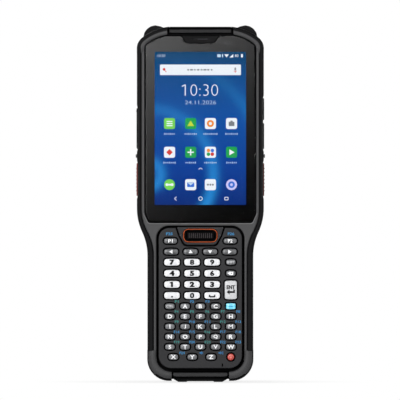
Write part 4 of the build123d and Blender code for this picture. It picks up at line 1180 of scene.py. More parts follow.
# the generic signs on the icons: outline, right, up, paint, and how far out when it isn't the usual
iconSigns = {
    "upper": (
        [(bar(3.4, 0.6), 0, up, "litWhite") for up in (1.2, 0, -1.2)],
        [([(-1.9, -1.4), (1.9, -1.4), (0, 1.7)], 0, 0, "litLime")],
        [(disc(2.0), 0, 0, "litOrange"), (disc(0.9), 0, 0, "litWhite", topOut)],
        [(bar(3.2, 2.4), 0, -0.2, "litGrey"), (bar(1.3, 0.7), 0, 1.3, "litGrey")],
    ),
    "lower": (
        [([(-1.8, 0), (0, -1.8), (1.8, 0), (0, 1.8)], 0, 0, "litRed")],
        [(bar(0.7, 3.6), 0, 0, "litWhite"), (bar(3.6, 0.7), 0, 0, "litWhite")],
        [(disc(1.0), -1.1, 1.0, "litOrange"), (disc(1.0), 1.1, 1.0, "litBlue"),
         (disc(1.0), -1.1, -1.1, "litLeaf"), (disc(1.0), 1.1, -1.1, "litRed")],
        [([(-1.2, -1.7), (1.7, 0), (-1.2, 1.7)], 0, 0, "litWhite")],
    ),
    "dock": (
        [(bar(3.6, 1.0, 0.5), 0, 0, "litWhite")]
        + [(disc(0.8), right, 0, "litWhite") for right in (-1.5, 1.5)],
        [(bar(4.0, 2.7, 0.4), 0, 0, "litBlue"),
         ([(-1.9, 1.2), (0, -0.4), (1.9, 1.2)], 0, 0, "litSoft", topOut)],
        [(disc(0.55), right, 0, "litGrey") for right in (-1.4, 0, 1.4)],
        [(disc(1.9), 0, 0, "litBlue"), (disc(0.8), 0, 0, "litLilac", topOut)],
    ),
}
statusRow, searchRow, clockRow = markSizes["statusRow"], markSizes["searchRow"], markSizes["clockRow"]
marks = [
    (textForm("10:30", 1.5, -22.1, statusRow, markOut, thin), "litSoft"),
    lit(bar(2.0, 1.7, 0.3), 10.6, statusRow, "litSoft"),
    lit(bar(0.6, 1.9), 12.6, statusRow, "litSoft"),
    lit([(0, -1.0), (1.3, 0.8), (-1.3, 0.8)], 14.9, statusRow, "litWhite"),
    lit([(-1.1, -1.0), (1.1, -1.0), (1.1, 1.0)], 17.6, statusRow, "litWhite"),
    (textForm("80", 1.5, 20.6, statusRow, markOut, thin), "litWhite"),
    lit(bar(1.1, 1.9), 23.6, statusRow, "litWhite"),
    lit(bar(45.9, 6.0, 0.35), 0.05, searchRow, "litWhite"),
    lit(disc(0.75), -20.6, searchRow + 0.3, "litRed", overOut),
    lit([(-0.2, 0), (0.35, -0.35), (1.35, -1.35), (1.0, -1.6)], -20.5, searchRow + 0.2, "litRed", overOut),
]
for index, size in enumerate(markSizes["searchDashes"]):
    x = markSizes["dashStart"] + markSizes["dashPitch"] * index
    marks.append(lit(bar(size, 0.9, 0.3), x, searchRow, "litGrey", overOut))
marks += [
    lit(bar(0.9, 1.7, 0.44), 19.8, searchRow + 0.45, "litGrey", overOut),
    lit(bar(1.7, 0.35, 0.15), 19.8, searchRow - 0.75, "litRed", overOut),
    lit(bar(0.35, 1.0, 0.1), 19.8, searchRow - 1.15, "litRed", overOut),
    (textForm("10:30", 6.5, 0.6, clockRow, markOut, thin, -0.022, width=18.9), "litWhite"),
    lit([(-10.5, 2.3), (-10.5, 1.75), (-8.75, 2.7), (-8.75, 3.25)], 0.0, clockRow, "litWhite"),
    (textForm("24.11.2026", 2.2, 0.1, markSizes["dateRow"], markOut, thin, -0.004, width=17.6), "litDim"),
]
for row, height in markSizes["iconRows"].items():
    for column, x in enumerate(markSizes["iconColumns"]):
        radius = markSizes["roundIcon"] if row == "dock" and column in (0, 3) else markSizes["iconRadius"]
        ground = bar(markSizes["icon"], markSizes["icon"], radius)
        marks.append(lit(ground, x, height, iconGrounds[row][column]))
        for loop, right, up, paint, *out in iconSigns[row][column]:
            marks.append(lit(loop, x + right, height + up, paint, *(out or [overOut])))
        if row == "dock":
            continue
        count = int(markSizes["labelWidths"][row][column] / markSizes["labelPitch"])
        for step, right in enumerate(spaced(count, markSizes["labelPitch"])):
            dash = markSizes["tallDash" if (step + column) % 3 == 0 else "labelDash"]
            marks.append(lit(bar(*dash), x + right, height - markSizes["labelDrop"], "litDim"))
navRow = markSizes["navRow"]
chevron = [(-1.1, -0.4), (0, 0.45), (1.1, -0.4), (1.1, 0.0), (0, 0.85), (-1.1, 0.0)]
hook = [(-0.8, 0), (0.5, -1.2), (0.75, -0.95), (-0.3, 0), (0.75, 0.95), (0.5, 1.2)]
marks += [lit(chevron, 0.1, 120.9, "litWhite"), lit(hook, -14.1, navRow, "litWhite")]
flatRings = [(0, markOut + thin), (0, markOut)]
frames = ((0.1, disc(1.2, 24), disc(0.85, 24)), (14.8, bar(2.3, 1.9, 0.5), bar(1.6, 1.2, 0.3)))
for x, outer, inner in frames:
    marks.append((plateForm(outer + [x, navRow], [inner + [x, navRow]], flatRings, [flatRings]), "litWhite"))
newPiece("displayMarks", marks)

# receiver insert in the notch: a dished plate with a slot and a small port, and a row of pins in the slot
receiverSizes = {
    "drop": 0.25, "floor": 0.8, "inset": 0.1, "slot": (7.0, 1.0, 0.49), "slotPlace": (1.3, 194.6),
    "port": 0.45, "portPlace": (-4.4, 194.8), "pin": 0.24, "pins": (5, 1.15),
    "edge": [(0.3, 0), (0.08, 0.08), (0, 0.3), (0, 0.9)], "holeEdge": [(0.1, 0), (0, 0.12), (0, 0.9)],
}
insertTop = glassOut - receiverSizes["drop"]
insertFloor = insertTop - receiverSizes["floor"]
insertHoles = [
    rectLoop(*receiverSizes["slot"], receiverSizes["slotPlace"]),
    circleLoop(receiverSizes["port"], receiverSizes["portPlace"], 16),
]
insertForm = plateForm(notchLoop(), insertHoles, below(insertTop, receiverSizes["edge"]),
                       [below(insertTop, receiverSizes["holeEdge"])] * 2)
slotX, slotZ = receiverSizes["slotPlace"]
pinLoop = disc(receiverSizes["pin"], 12)
pins = [glyphForm(pinLoop, insertFloor, thin, (slotX + x, slotZ)) for x in spaced(*receiverSizes["pins"])]
newPiece("receiverInsert", [
    (insertForm, "insertPlastic"),
    (slabForm(notchLoop(-receiverSizes["inset"]), [(0, glassFloor), (0, insertFloor)]), "blackPlasticAndShade"),
    (joined(*pins), "screwSteel"),
], nodes=["receiver_grille"])
print("display done")

keySizes = {
    "well": 0.7, "proud": 1.0, "crown": 0.16, "edge": 0.5, "bulge": 0.12, "depth": 1.9,
    "shoulder": [(0, 0.42), (0.12, 0.2), (0.4, 0.07), (1, 0)],    # share of the edge, depth below the top
    "crownSteps": (0.3, 0.6, 0.85),
    "letterPitch": 8.65, "lastColumns": (-15.3, -4.6, 6.1),
}
# width, height and corner radius of each kind of cap
capSizes = {
    "digit": (8.8, 3.7, 1.45), "enter": (6.9, 10.4, 1.1), "program": (7.4, 3.0, 1.35),
    "arrow": (8.0, 3.1, 1.4), "small": (5.4, 2.9, 1.2), "function": (5.4, 3.2, 0.7),
    "power": (3.9, 3.9, 1.9), "letter": (5.4, 3.0, 1.25),
}
keyBase = fasciaOut - keySizes["depth"]
keyTop = fasciaOut + keySizes["proud"]
legendOut = keyTop + keySizes["crown"] - 0.01
keyHoles = []


# a key's outline: rounded corners, long sides bowed out by a cosine towards the middle
def capLoop(width, height, radius, grow=0.0):
    if width == height:
        return circleLoop(width / 2 + grow, count=32)
    loop = rectLoop(width + 2 * grow, height + 2 * grow, radius + grow, steps=5)
    run = width - 2 * radius
    bows = []
    for sign in (-1, 1):
        x = np.linspace(-0.5, 0.5, 9)[1:-1] * run
        bow = keySizes["bulge"] * np.cos(x / run * pi)
        bows.append(np.stack([x * -sign, sign * (height / 2 + grow + bow)], 1))
    lower = loop[loop[:, 1] < 0]
    upper = loop[loop[:, 1] > 0]
    lower = lower[np.argsort(lower[:, 0] + 1e-4 * lower[:, 1] * np.sign(lower[:, 0]))]
    upper = upper[np.argsort(-(upper[:, 0] - 1e-4 * upper[:, 1] * np.sign(upper[:, 0])))]
    lowLeft, lowRight = lower[lower[:, 0] < 0], lower[lower[:, 0] > 0]
    upRight, upLeft = upper[upper[:, 0] > 0], upper[upper[:, 0] < 0]
    return tidyLoop(np.concatenate([lowLeft, bows[0], lowRight, upRight, bows[1], upLeft]))


# a cap: straight wall, rounded shoulder, then rings that shrink to the middle line and rise to the crown
def capForm(loop, base, top):
    width, height = loop.max(axis=0) - loop.min(axis=0)
    long = 0 if width >= height else 1
    reach = abs(width - height) / 2
    core = np.zeros(loop.shape)
    core[:, long] = np.clip(loop[:, long], -reach, reach)
    edge = keySizes["edge"] / (min(width, height) / 2)
    rings = [(0.0, base)] + [(edge * share, top - depth) for share, depth in keySizes["shoulder"]]
    for step in keySizes["crownSteps"]:
        rings.append((edge + (1 - edge) * step, top + keySizes["crown"] * (1 - (1 - step) ** 2)))
    return gridForm(np.stack([ringPoints(loop * (1 - share) + core * share, out) for share, out in rings]))


# a cap of a kind at a place, with its well in the fascia
def oneKey(x, z, kind):
    keyHoles.append(capLoop(*capSizes[kind], keySizes["well"]) + np.array([x, z]))
    return moved(capForm(capLoop(*capSizes[kind]), keyBase, keyTop), x, z)


# one key at its node's place; its legends are about its own centre
def keyPiece(name, kind, legends, capPaint, inkPaint):
    node = "key_" + name
    x, z = middleOf(node)[[0, 2]]
    parts = [(oneKey(x, z, kind), capPaint)] + [(moved(form, x, z), inkPaint) for form in legends]
    return newPiece("cap_" + node, parts, body=node, nodes=[node])


def glyph(loop, x=0, z=0):
    return glyphForm(loop, legendOut, place=(x, z))


# bold letters: the same text twice, side by side, one a hair above the other
def boldText(text, height, z, apart, **shape):
    places = ((-apart, legendOut), (apart, legendOut + 0.006))
    return [textForm(text, height, x, z, out, **shape) for x, out in places]


digitFlag = [(-1.0, 0.95), (-1.0, 0.55), (0.1, 0.75), (0.1, 1.47), (-0.25, 1.47)]
for digit in "0123456789":
    roundDigit = digit in "0689"
    apart, bold = (0.06, 0.04) if roundDigit else (0.14, 0.05)
    legends = boldText(digit, 2.95, 0, apart, bold=bold, stretch=1.22)
    if digit == "1":
        legends.append(glyph(digitFlag, -0.3))
    keyPiece(digit, "digit", legends, "whiteKey", "printBlack")
spaceTray = [(-1.8, 0.75), (-1.8, -0.4), (-1.4, -0.8), (1.4, -0.8), (1.8, -0.4), (1.8, 0.75), (1.1, 0.75),
             (1.1, 0.0), (-1.1, 0.0), (-1.1, 0.75)]
returnArrow = [(-2.4, 0), (-0.7, 1.4), (-0.7, 0.5), (1.4, 0.5), (1.4, 1.4), (2.3, 1.4), (2.3, -0.5),
               (-0.7, -0.5), (-0.7, -1.4)]
enterLegends = boldText("ENT", 2.2, 1.55, 0.06, bold=0.03, width=4.7) + [glyph(returnArrow, 0, -1.2)]
keyPiece("point", "digit", [glyph(circleLoop(0.5, count=16), 0, -0.7)], "whiteKey", "printBlack")
keyPiece("space", "digit", [glyph(spaceTray, 0, -0.3)], "whiteKey", "printBlack")
keyPiece("enter", "enter", enterLegends, "enterKey", "printBlack")
for label in ("P1", "P2"):
    legend = textForm(label, 1.9, 0, 0, legendOut, bold=0.02, width=2.6)
    keyPiece(label.lower(), "program", [legend], "darkKey", "printWhite")
for label, (dx, dz) in {"left": (-1, 0), "up": (0, 1), "down": (0, -1), "right": (1, 0)}.items():
    point = np.array([(1.1, 0), (-0.8, 1.15), (-0.8, -1.15)])
    turned = np.stack([point[:, 0] * dx - point[:, 1] * dz, point[:, 0] * dz + point[:, 1] * dx], 1)
    keyPiece(label, "arrow", [glyph(turned)], "darkKey", "printWhite")
shiftText = textForm("SHIFT", 1.35, 0, 0, legendOut, bold=0.01, width=4.2)
keyPiece("shift", "small", [shiftText], "darkKey", "printGrey")
tag = np.array([(-1.9, 0), (-0.6, -0.95), (1.4, -0.95), (1.4, 0.95), (-0.6, 0.95)])
tagRings = [(0, legendOut + printThickness), (0, legendOut)]
tagForm = plateForm(tag, [circleLoop(0.36, (0.3, 0), 12)], tagRings, [tagRings])
keyPiece("backspace", "small", [tagForm], "darkKey", "printWhite")
functionDash = rectLoop(2.6, 0.35, 0.15, steps=2)
keyPiece("function", "function", [glyph(functionDash)], "functionKey", "printBlue")
powerRing = np.concatenate([arc((0, 0), 1.15, 125, 415, 20), arc((0, 0), 0.8, 415, 125, 20)])
powerLegends = [glyph(powerRing, 0, -0.1), glyph(rectLoop(0.32, 1.2, 0.1, steps=2), 0, 0.75)]
powerCap = keyPiece("power", "power", powerLegends, "powerKey", "powerInk")
powerX, powerZ = middleOf("key_power")[[0, 2]]
# painted shade: the cap is painted darker red outside this radius, round its rim
powerShadeRadius, capOut = 1.55, legendOut + 0.001
paintWhere(powerCap, "powerPaintedShade",
           lambda x, y, z: (np.hypot(x - powerX, z - powerZ) > powerShadeRadius) & (y > -capOut))


# places across of the keys in a letter row; the last row has three wide ones
def letterColumns(row):
    return keySizes["lastColumns"] if row == 5 else spaced(5, keySizes["letterPitch"])


letterRows = (("CTRL", "A", "B", "C"), "DEFGH", "IJKLM", "NOPQR", "STUVW", "XYZ")
rowHeights = []
for row, labels in enumerate(letterRows):
    node = f"letter_keys_row_{row + 1}"
    z = middleOf(node)[2]
    rowHeights.append(z)
    caps, inks = [], []
    for x, label in zip(letterColumns(row), labels):
        caps.append((oneKey(x, z, "letter"), "greyKey"))
        if label == "CTRL":
            inks.append((textForm(label, 1.3, x, z, legendOut, bold=0.01, width=4.0), "printGrey"))
        else:
            letter = textForm(label, 2.3, x, z, legendOut, bold=0.01 if label == "M" else 0.03, stretch=1.15)
            inks.append((letter, "printWhite"))
    newPiece("cap_" + node, caps + inks, body=node, nodes=[node])
print("keys done")
fasciaBack = -fasciaHigh[1]


# the pod breaks the upper edge of the plate, so its opening is part of the plate's own outline
def fasciaWithPod():
    outline = fasciaLoop()
    top = outline[:, 1].max()
    gap = fasciaSizes["podGap"]
    pod = podLoop(gap)
    pod = pod[pod[:, 1] < top - 0.05]
    pod = pod[np.argsort(-np.arctan2(pod[:, 1] - top - 1, pod[:, 0]))]
    slope = (podSizes["topHalf"] - podSizes["midHalf"]) / podSizes["rise"]
    ends = np.array([[podSizes["midHalf"] + gap + slope * (top - scanRow), top]])
    corner = np.argmax((outline[:, 0] > 0) & (outline[:, 1] > top - 1e-3)) + 1
    return tidyLoop(np.concatenate([outline[:corner], ends, pod, ends * [-1, 1], outline[corner:]]))


# fascia plate with a well for each key, the pod's opening and the microphone slit
slitRight, slitUp = fasciaSizes["slitPlace"]
micSlit = rectLoop(*fasciaSizes["slit"], (slitRight, fasciaLow[2] + slitUp), 3)
outerRings = below(fasciaOut, fasciaSizes["edge"]) + [(0, fasciaBack)]
wellRings = below(fasciaOut, fasciaSizes["wellEdge"]) + [(0, fasciaBack)]
fasciaPlate = plateForm(fasciaWithPod(), keyHoles + [micSlit], outerRings, [wellRings] * (len(keyHoles) + 1))
keypadFascia = newPiece("keypadFascia", [(fasciaPlate, "fasciaPlastic")],
                        nodes=["keypad_fascia"], narrow=0.0)
# painted shade: everything deeper than darkBelow, the walls of the wells, the slit and the edge, is painted
# black
paintWhere(keypadFascia, "blackPlasticAndShade", lambda x, y, z: y > fasciaSizes["darkBelow"] - fasciaOut)

# small second legends, up and to the right of the keys they belong to; t is teal and b is blue
smallSizes = {
    "out": -0.005, "thick": 0.02, "letter": 1.5, "bold": 0.025, "place": (4.05, 2.7), "lastPlace": (5.1, 2.3),
    "headRow": 84.1, "headLetter": 1.55, "headWidth": 3.7, "head": {"F25": -17.6, "F26": 17.4},
}
smallLabels = [("F1", "F2", "F3"), ("F4", "F5", "F6", "F7", "F8"), ("F9", "F10", "F11", "F12", "F13"),
               ("F14", "F15", "F16", "F17", "F18"), ("F19", "F20", "F21", "F22", "F23"), ("F24", "-", "+")]
smallTones = ("tbb", "ttttb", "tbbtb", "bbtbb", "tbtbb", "bbb")
hornSign = [(-0.95, 0.35), (-0.95, -0.35), (-0.4, -0.35), (0.35, -0.95), (0.35, 0.95), (-0.4, 0.35)]
waveSigns = [rectLoop(0.35, 1.2, 0.1, (0.85, 0), 2), rectLoop(0.35, 1.8, 0.1, (1.5, 0), 2)]
smallOut, smallThick = fasciaOut + smallSizes["out"], smallSizes["thick"]
inks = []
for row, labels in enumerate(smallLabels):
    right, up = smallSizes["lastPlace"] if row == 5 else smallSizes["place"]
    for x, label, tone in zip(letterColumns(row), labels, smallTones[row]):
        place = (x * 1.01 + right, rowHeights[row] + up)
        if label in "-+":
            loops = [hornSign] + (waveSigns if label == "+" else waveSigns[:1])
            forms = [glyphForm(loop, smallOut, smallThick, place) for loop in loops]
        else:
            forms = [textForm(label, smallSizes["letter"], *place, smallOut, smallThick, smallSizes["bold"],
                              width=0.9 * len(label) + 0.4)]
        inks += [(form, "printBlue" if tone == "b" else "printTeal") for form in forms]
for label, x in smallSizes["head"].items():
    form = textForm(label, smallSizes["headLetter"], x, smallSizes["headRow"], smallOut, smallThick, 0.03,
                    smallSizes["headWidth"])
    inks.append((form, "printBlue"))
newPiece("fasciaPrint", inks)
print("fascia done")

# pod, ring and ribbed scan key
podLow, podHigh = edgesOf("scan_key_pod")
podOut, podBack = -podLow[1], -podHigh[1]
ringLow, ringHigh = edgesOf("scan_key_ring")
ringOut, ringBack = -ringLow[1], -ringHigh[1]
ringSizes = {
    "radius": 3.0, "wall": 0.43,
    "section": [(0.0, 0.45), (0.08, 0.2), (0.28, 0.04), (0.5, 0), (0.72, 0.04), (0.92, 0.2), (1.0, 0.45)],
}


# the ring's outline and those round it
def roundRing(grow=0.0):
    size = (2 * (ringHigh[0] + grow), ringHigh[2] - ringLow[2] + 2 * grow)
    return rectLoop(*size, ringSizes["radius"] + grow, (0, scanRow), 8)


podRings = below(podOut, podSizes["edge"]) + [(0, podBack)]
podHoleRings = below(podOut, podSizes["holeEdge"]) + [(0, ringBack)]
podPlate = plateForm(podLoop(), [roundRing(podSizes["ringGap"])], podRings, [podHoleRings], closeBack=False)
floorRings = [(0, ringBack), (0, podBack)]
podFloor = plateForm(podLoop(), [rectLoop(*podSizes["floorHole"], (0, scanRow))], floorRings, [floorRings])
newPiece("scanPod", [(podPlate, "fasciaPlastic"), (podFloor, "blackPlasticAndShade")],
         nodes=["scan_key_pod"])

# ring: an upright oval section of (share of the wall, depth below the top) carried round the outline
ringSection = [(0.0, ringBack)] + below(ringOut, ringSizes["section"]) + [(1.0, ringBack)]
ringRows = [ringPoints(insetLoop(roundRing(), share * ringSizes["wall"]), out) for share, out in ringSection]
newPiece("scanRing", [(gridForm(np.stack(ringRows), wrapRows=True), "ringOrange")],
         nodes=["scan_key_ring"])

scanKeySizes = {
    "shape": (15.6, 4.3, 1.2), "round": 0.6, "drop": 0.5,
    "ribs": (12, 1.15), "rib": (0.58, 2.9, 0.28),      # how many and their pitch
    "ribEdge": [(0, 0.6), (0, 0.25), (0.08, 0.08), (0.2, 0)],
}
scanLow, scanHigh = edgesOf("scan_key")
scanOut = -scanLow[1]
scanRings = roundRings(-scanHigh[1], scanOut - scanKeySizes["drop"], scanKeySizes["round"])
ribRings = below(scanOut, scanKeySizes["ribEdge"])
# painted highlight on the ribs, and painted shade, black, on the key between them
scanParts = [(blockForm(scanKeySizes["shape"], (0, scanRow), scanRings), "blackPlasticAndShade")]
for x in spaced(*scanKeySizes["ribs"]):
    scanParts.append((blockForm(scanKeySizes["rib"], (x, scanRow), ribRings, 4), "scanRibPaintedHighlight"))
newPiece("scanKeyCap", scanParts, body="scan_key", nodes=["scan_key"])
print("scan key done")

sideKeySizes = {
    "radius": 1.35, "round": 0.55, "dish": 0.25,
    "ribs": (7, 2.1), "ribShort": 2.6, "rib": (0.7, 0.34), "ribEdge": [(0, 0.08), (0.1, 0)],
    "mark": (2.6, 0.5, 0.1), "markDepth": 0.1, "markRise": 0.03,
}


# a key in the side: a rounded block, with ribs over a dished face or with a plus or minus sign
def sideKey(name, node, side, paint, mark=""):
    low, high = edgesOf(node)
    across, up = middleOf(node)[1] * side, middleOf(node)[2]
    wide, tall = high[1] - low[1], high[2] - low[2]
    back, front = (low[0], high[0]) if side > 0 else (-high[0], -low[0])
    dish = 0.0 if mark else sideKeySizes["dish"]
    rings = roundRings(back, front - dish, sideKeySizes["round"])
    parts = [(blockForm((wide, tall, sideKeySizes["radius"]), (across, up), rings), paint)]
    if mark:
        length, width, radius = sideKeySizes["mark"]
        depths = [(0, front - sideKeySizes["markDepth"]), (0, front + sideKeySizes["markRise"])]
        parts.append((blockForm((length, width, radius), (across, up), depths, 2), "printWhite"))
        if mark == "+":
            parts.append((blockForm((width, length, radius), (across, up), depths, 2), "printWhite"))
    else:
        ribTall, ribRadius = sideKeySizes["rib"]
        depths = [(0, front - dish - 0.3)] + below(front, sideKeySizes["ribEdge"])
        for height in up + spaced(*sideKeySizes["ribs"]):
            shape = (wide - sideKeySizes["ribShort"], ribTall, ribRadius)
            parts.append((blockForm(shape, (across, height), depths, 3), paint))
    newPiece(name, parts, body=node, nodes=[node], face="right" if side > 0 else "left")


sideKey("sideScanLeft", "side_scan_key_left", -1, "sideRed")
sideKey("sideScanRight", "side_scan_key_right", 1, "sideRed")
sideKey("volumeDown", "volume_down_key", 1, "sideDark", "-")
sideKey("volumeUp", "volume_up_key", 1, "sideDark", "+")

# studs: (radius, depth below the tip)
studProfile = [(1.05, 3.0), (1.05, 0.9), (0.85, 0.8), (0.85, 0.5), (1.05, 0.4), (1.05, 0.2), (0.9, 0.05),
               (0.6, 0)]
studTip = edgesOf("side_studs")[1][0]
studY, studZ = middleOf("side_studs")[1:]
studForms = [facing(turnedForm(below(studTip, studProfile), (studY * sign, studZ)), face)
             for face, sign in (("left", -1), ("right", 1))]
newPiece("sideStuds", [(form, "screwSteel") for form in studForms], face=None,
         nodes=["side_studs"])

# port cover: a flap over the left side, a finger ridge near its top, and a barrel with a pin at its hinge
portSizes = {
    "width": 8.0, "radius": 1.0, "over": 0.35, "thickness": 1.5, "round": 0.45,
    "ridge": (5.0, 0.7, 0.34), "ridgeDrop": 1.7, "ridgeRings": [(0, 0.3), (0, -0.1), (0.15, -0.2)],
    "barrel": [(0.55, -4.0), (0.8, -3.8), (0.8, 3.8), (0.55, 4.0)],      # radius and place along the hinge
    "pin": [(0.3, -4.9), (0.43, -4.8), (0.43, 4.8), (0.3, 4.9)],
}
hinge = next(joint for joint in frame["joints"] if joint["name"] == "port_cover_hinge")
hingePlace = np.array(hinge["pos_m"]) / mm
coverTop = edgesOf("port_cover")[1][2]
coverOut = displayHalf + portSizes["over"]
flapShape = (portSizes["width"], coverTop - hingePlace[2], portSizes["radius"])
flapRings = roundRings(coverOut - portSizes["thickness"], coverOut, portSizes["round"])
flap = blockForm(flapShape, (-studY, (coverTop + hingePlace[2]) / 2), flapRings, 5)
ridge = blockForm(portSizes["ridge"], (-studY, coverTop - portSizes["ridgeDrop"]),
                  below(coverOut, portSizes["ridgeRings"]), 3)


# a form turned about the out axis laid along depth, at the hinge
def alongDepth(form):
    return form[0][:, [0, 2, 1]] * np.array([1, 1, -1]) + hingePlace, form[1]


newPiece("portCover", [
    (facing(flap, "left"), "bumperRubber"),
    (facing(ridge, "left"), "bumperRubber"),
    (alongDepth(turnedForm(portSizes["barrel"], count=20)), "bumperRubber"),
    (alongDepth(turnedForm(portSizes["pin"], count=16)), "screwSteel"),
], face=None, body="port_cover", nodes=["port_cover"])
print("side pieces done")

# the rear case below the head, with the bays and holes that are cut into its back
rearSizes = {
    "inset": 0.6, "round": 5.0, "roundSteps": 8, "front": 3.0, "headGap": 0.5,
    "bandInset": 0.06, "band": (-3.0, 6.0),
    "bayGap": 0.3, "bayRadius": 3.8, "bayDepth": 11.5,
    "latchBay": (16.6, 8.6, 1.5), "latchBayRise": 1.5, "latchBayDepth": 1.6,
    "speakerBay": (20.4, 6.4, 3.19), "speakerBayDepth": 1.2,
    "seatShort": 1.4, "seatDrop": 0.9, "seatDepth": 13,     # the seat of the bottom bar
    "screwHole": 2.3, "screwHoleDepth": 1.9, "strapHole": 1.25, "strapHoleDepth": 5.0,
    "screwSpots": [(-27.4, 119.2), (-27.4, 143.2), (27.4, 119.2), (27.4, 143.2), (-13.5, 11.6), (13.5, 11.6)],
    "strapSpots": [(-20.0, 124.7), (20.0, 124.7)],
}
headLow, headHigh = edgesOf("scan_head_cover")
batteryLow, batteryHigh = edgesOf("battery_pack")
backOut = edgesOf("rear_housing")[1][1]
headCut = headLow[2]
latchRow = middleOf("battery_latch")[2]
speakerRow = middleOf("speaker_grille")[2]


# the case's outline in from the rubber, flat where the head starts
def rearLoop(inset):
    half = caseHalf(inset, inset)
    half = half[half[:, 1] < headCut - rearSizes["headGap"]]
    return mirrored(np.concatenate([half, [[displayHalf - inset, headCut], [0, headCut]]]))


def backCut(loop, depth):
    return facing(slabForm(loop, [(0, backOut - depth), (0, backOut + 2)]), "back")


rearRings = roundRings(rearSizes["front"], backOut, rearSizes["round"], rearSizes["roundSteps"] - 1)
rearRows = [ringPoints(rearLoop(rearSizes["inset"] + inset), out) for inset, out in rearRings]
rearForm = gridForm(np.stack(rearRows))
rearShell = newPiece("rearShell", [(rearForm, "casePlastic")], face="back",
                     nodes=["rear_housing"])
batteryLoop = rectLoop(2 * batteryHigh[0], batteryHigh[2] - batteryLow[2], rearSizes["bayRadius"],
                       (0, middleOf("battery_pack")[2]), 8)
latchBay = rectLoop(*rearSizes["latchBay"], (0, latchRow + rearSizes["latchBayRise"]), 5)
seatWidth = 2 * bottomBarHalf - rearSizes["seatShort"]
barSeat = rectLoop(seatWidth, 2 * bottomBarHigh[2] - rearSizes["seatDrop"], 0.3, steps=3)
cutOut(
    rearShell,
    backCut(insetLoop(batteryLoop, -rearSizes["bayGap"]), rearSizes["bayDepth"]),
    backCut(latchBay, rearSizes["latchBayDepth"]),
    backCut(rectLoop(*rearSizes["speakerBay"], (0, speakerRow), 10), rearSizes["speakerBayDepth"]),
    backCut(barSeat, rearSizes["seatDepth"]),
    *[backCut(circleLoop(rearSizes["screwHole"], spot, 28), rearSizes["screwHoleDepth"])
      for spot in rearSizes["screwSpots"]],
    *[backCut(circleLoop(rearSizes["strapHole"], spot, 20), rearSizes["strapHoleDepth"])
      for spot in rearSizes["strapSpots"]],
)
bandForm = slabForm(housingLoop(rearSizes["bandInset"]), [(0, out) for out in rearSizes["band"]])
newPiece("rearBand", [(bandForm, "casePlastic")])

# head cover: sections in depth and height carried across; its upper line rises into an ear near each end
headSizes = {
    "ease": 1.6, "middle": 15.8, "middleDrop": 3.2,
    "earEnds": [12, 10, 7, 4.5, 2.4, 0.7, 0],               # in from the end of the head
    "earDrops": [1.5, 0.65, 0.0, 0.55, 1.9, 4.1, 7.1],
    "skirt": 10, "topRound": 8, "topBack": 5, "radii": [0, 1.2, 4.0, 4.0, 2.0, 0.8],
    "windowGap": 0.2, "windowRadius": 2.0, "cameraSlot": (18.3, 8.8, 4.39), "cameraDepth": 1.02,
    "darkSide": 20.4, "darkDepth": 0.4, "earSide": 18.5, "earTop": 12,
}


def headForm():
    half, ease, middle = headHigh[0], headSizes["ease"], headSizes["middle"]
    knots = [0, middle] + [half - end for end in headSizes["earEnds"]]
    drops = [headSizes["middleDrop"]] * 2 + headSizes["earDrops"]
    right = np.concatenate([
        np.linspace(0, middle - 0.8, 4),
        np.linspace(middle, half - 12, 5),
        np.linspace(half - 11.5, half - ease, 16),
        half - ease + ease * np.sin(np.linspace(0, pi / 2, 6))[1:],
    ])
    rows = []
    for x in np.concatenate([-right[:0:-1], right]):
        past = max(abs(x) - (half - ease), 0)
        inset = ease - sqrt(max(ease ** 2 - past ** 2, 0))
        top = headHigh[2] - np.interp(abs(x), knots, drops) - inset * 0.4
        low, back, front = headCut + inset * 0.5, headHigh[1] - inset, headLow[1]
        corners = [(front, low), (backOut - inset, low), (back, low + headSizes["skirt"]),
                   (back, top - headSizes["topRound"]), (back - headSizes["topBack"], top), (front, top)]
        section = roundedLoop(corners, headSizes["radii"], 5)
        rows.append(np.column_stack([np.full(len(section), x), section]))
    return gridForm(np.stack(rows))


headCover = newPiece("headCover", [(headForm(), "casePlastic")], face=None,
                     nodes=["scan_head_cover"])
windowLow, windowHigh = edgesOf("scan_window")
windowMiddle = middleOf("scan_window")[:2]
windowSize = (windowHigh - windowLow)[:2]
cameraRow = middleOf("camera_window")[2]
windowShape = (*(windowSize + headSizes["windowGap"]), headSizes["windowRadius"])
windowCut = blockForm(windowShape, windowMiddle, [(0, windowLow[2] - 0.02), (0, windowHigh[2] + 8)], 5)
cameraDepths = [(0, headHigh[1] - headSizes["cameraDepth"]), (0, headHigh[1] + 1)]
cameraCut = blockForm(headSizes["cameraSlot"], (0, cameraRow), cameraDepths, 10)
cutOut(headCover, windowCut, facing(cameraCut, "back"))
faceDepth, earTop = headLow[1] + headSizes["darkDepth"], headHigh[2] - headSizes["earTop"]
# painted shade: the head cover's front behind the top bar is painted black, as the dark groove there
paintWhere(headCover, "blackPlasticAndShade", lambda x, y, z: (np.abs(x) < headSizes["darkSide"]) & (y < faceDepth))
paintWhere(headCover, "earTexture",
           lambda x, y, z: (np.abs(x) > headSizes["earSide"]) & ((z > earTop) | (y < faceDepth)))
print("back shells done")

# scan window, its frame of dark plastic left by the cut
windowRings = roundRings(windowLow[2], windowHigh[2], 0.25, 3)
windowForm = blockForm((*windowSize, 1.9), windowMiddle, windowRings)
newPiece("scanWindow", [(windowForm, "scanWindowRed")], face=None,
         nodes=["scan_window"])

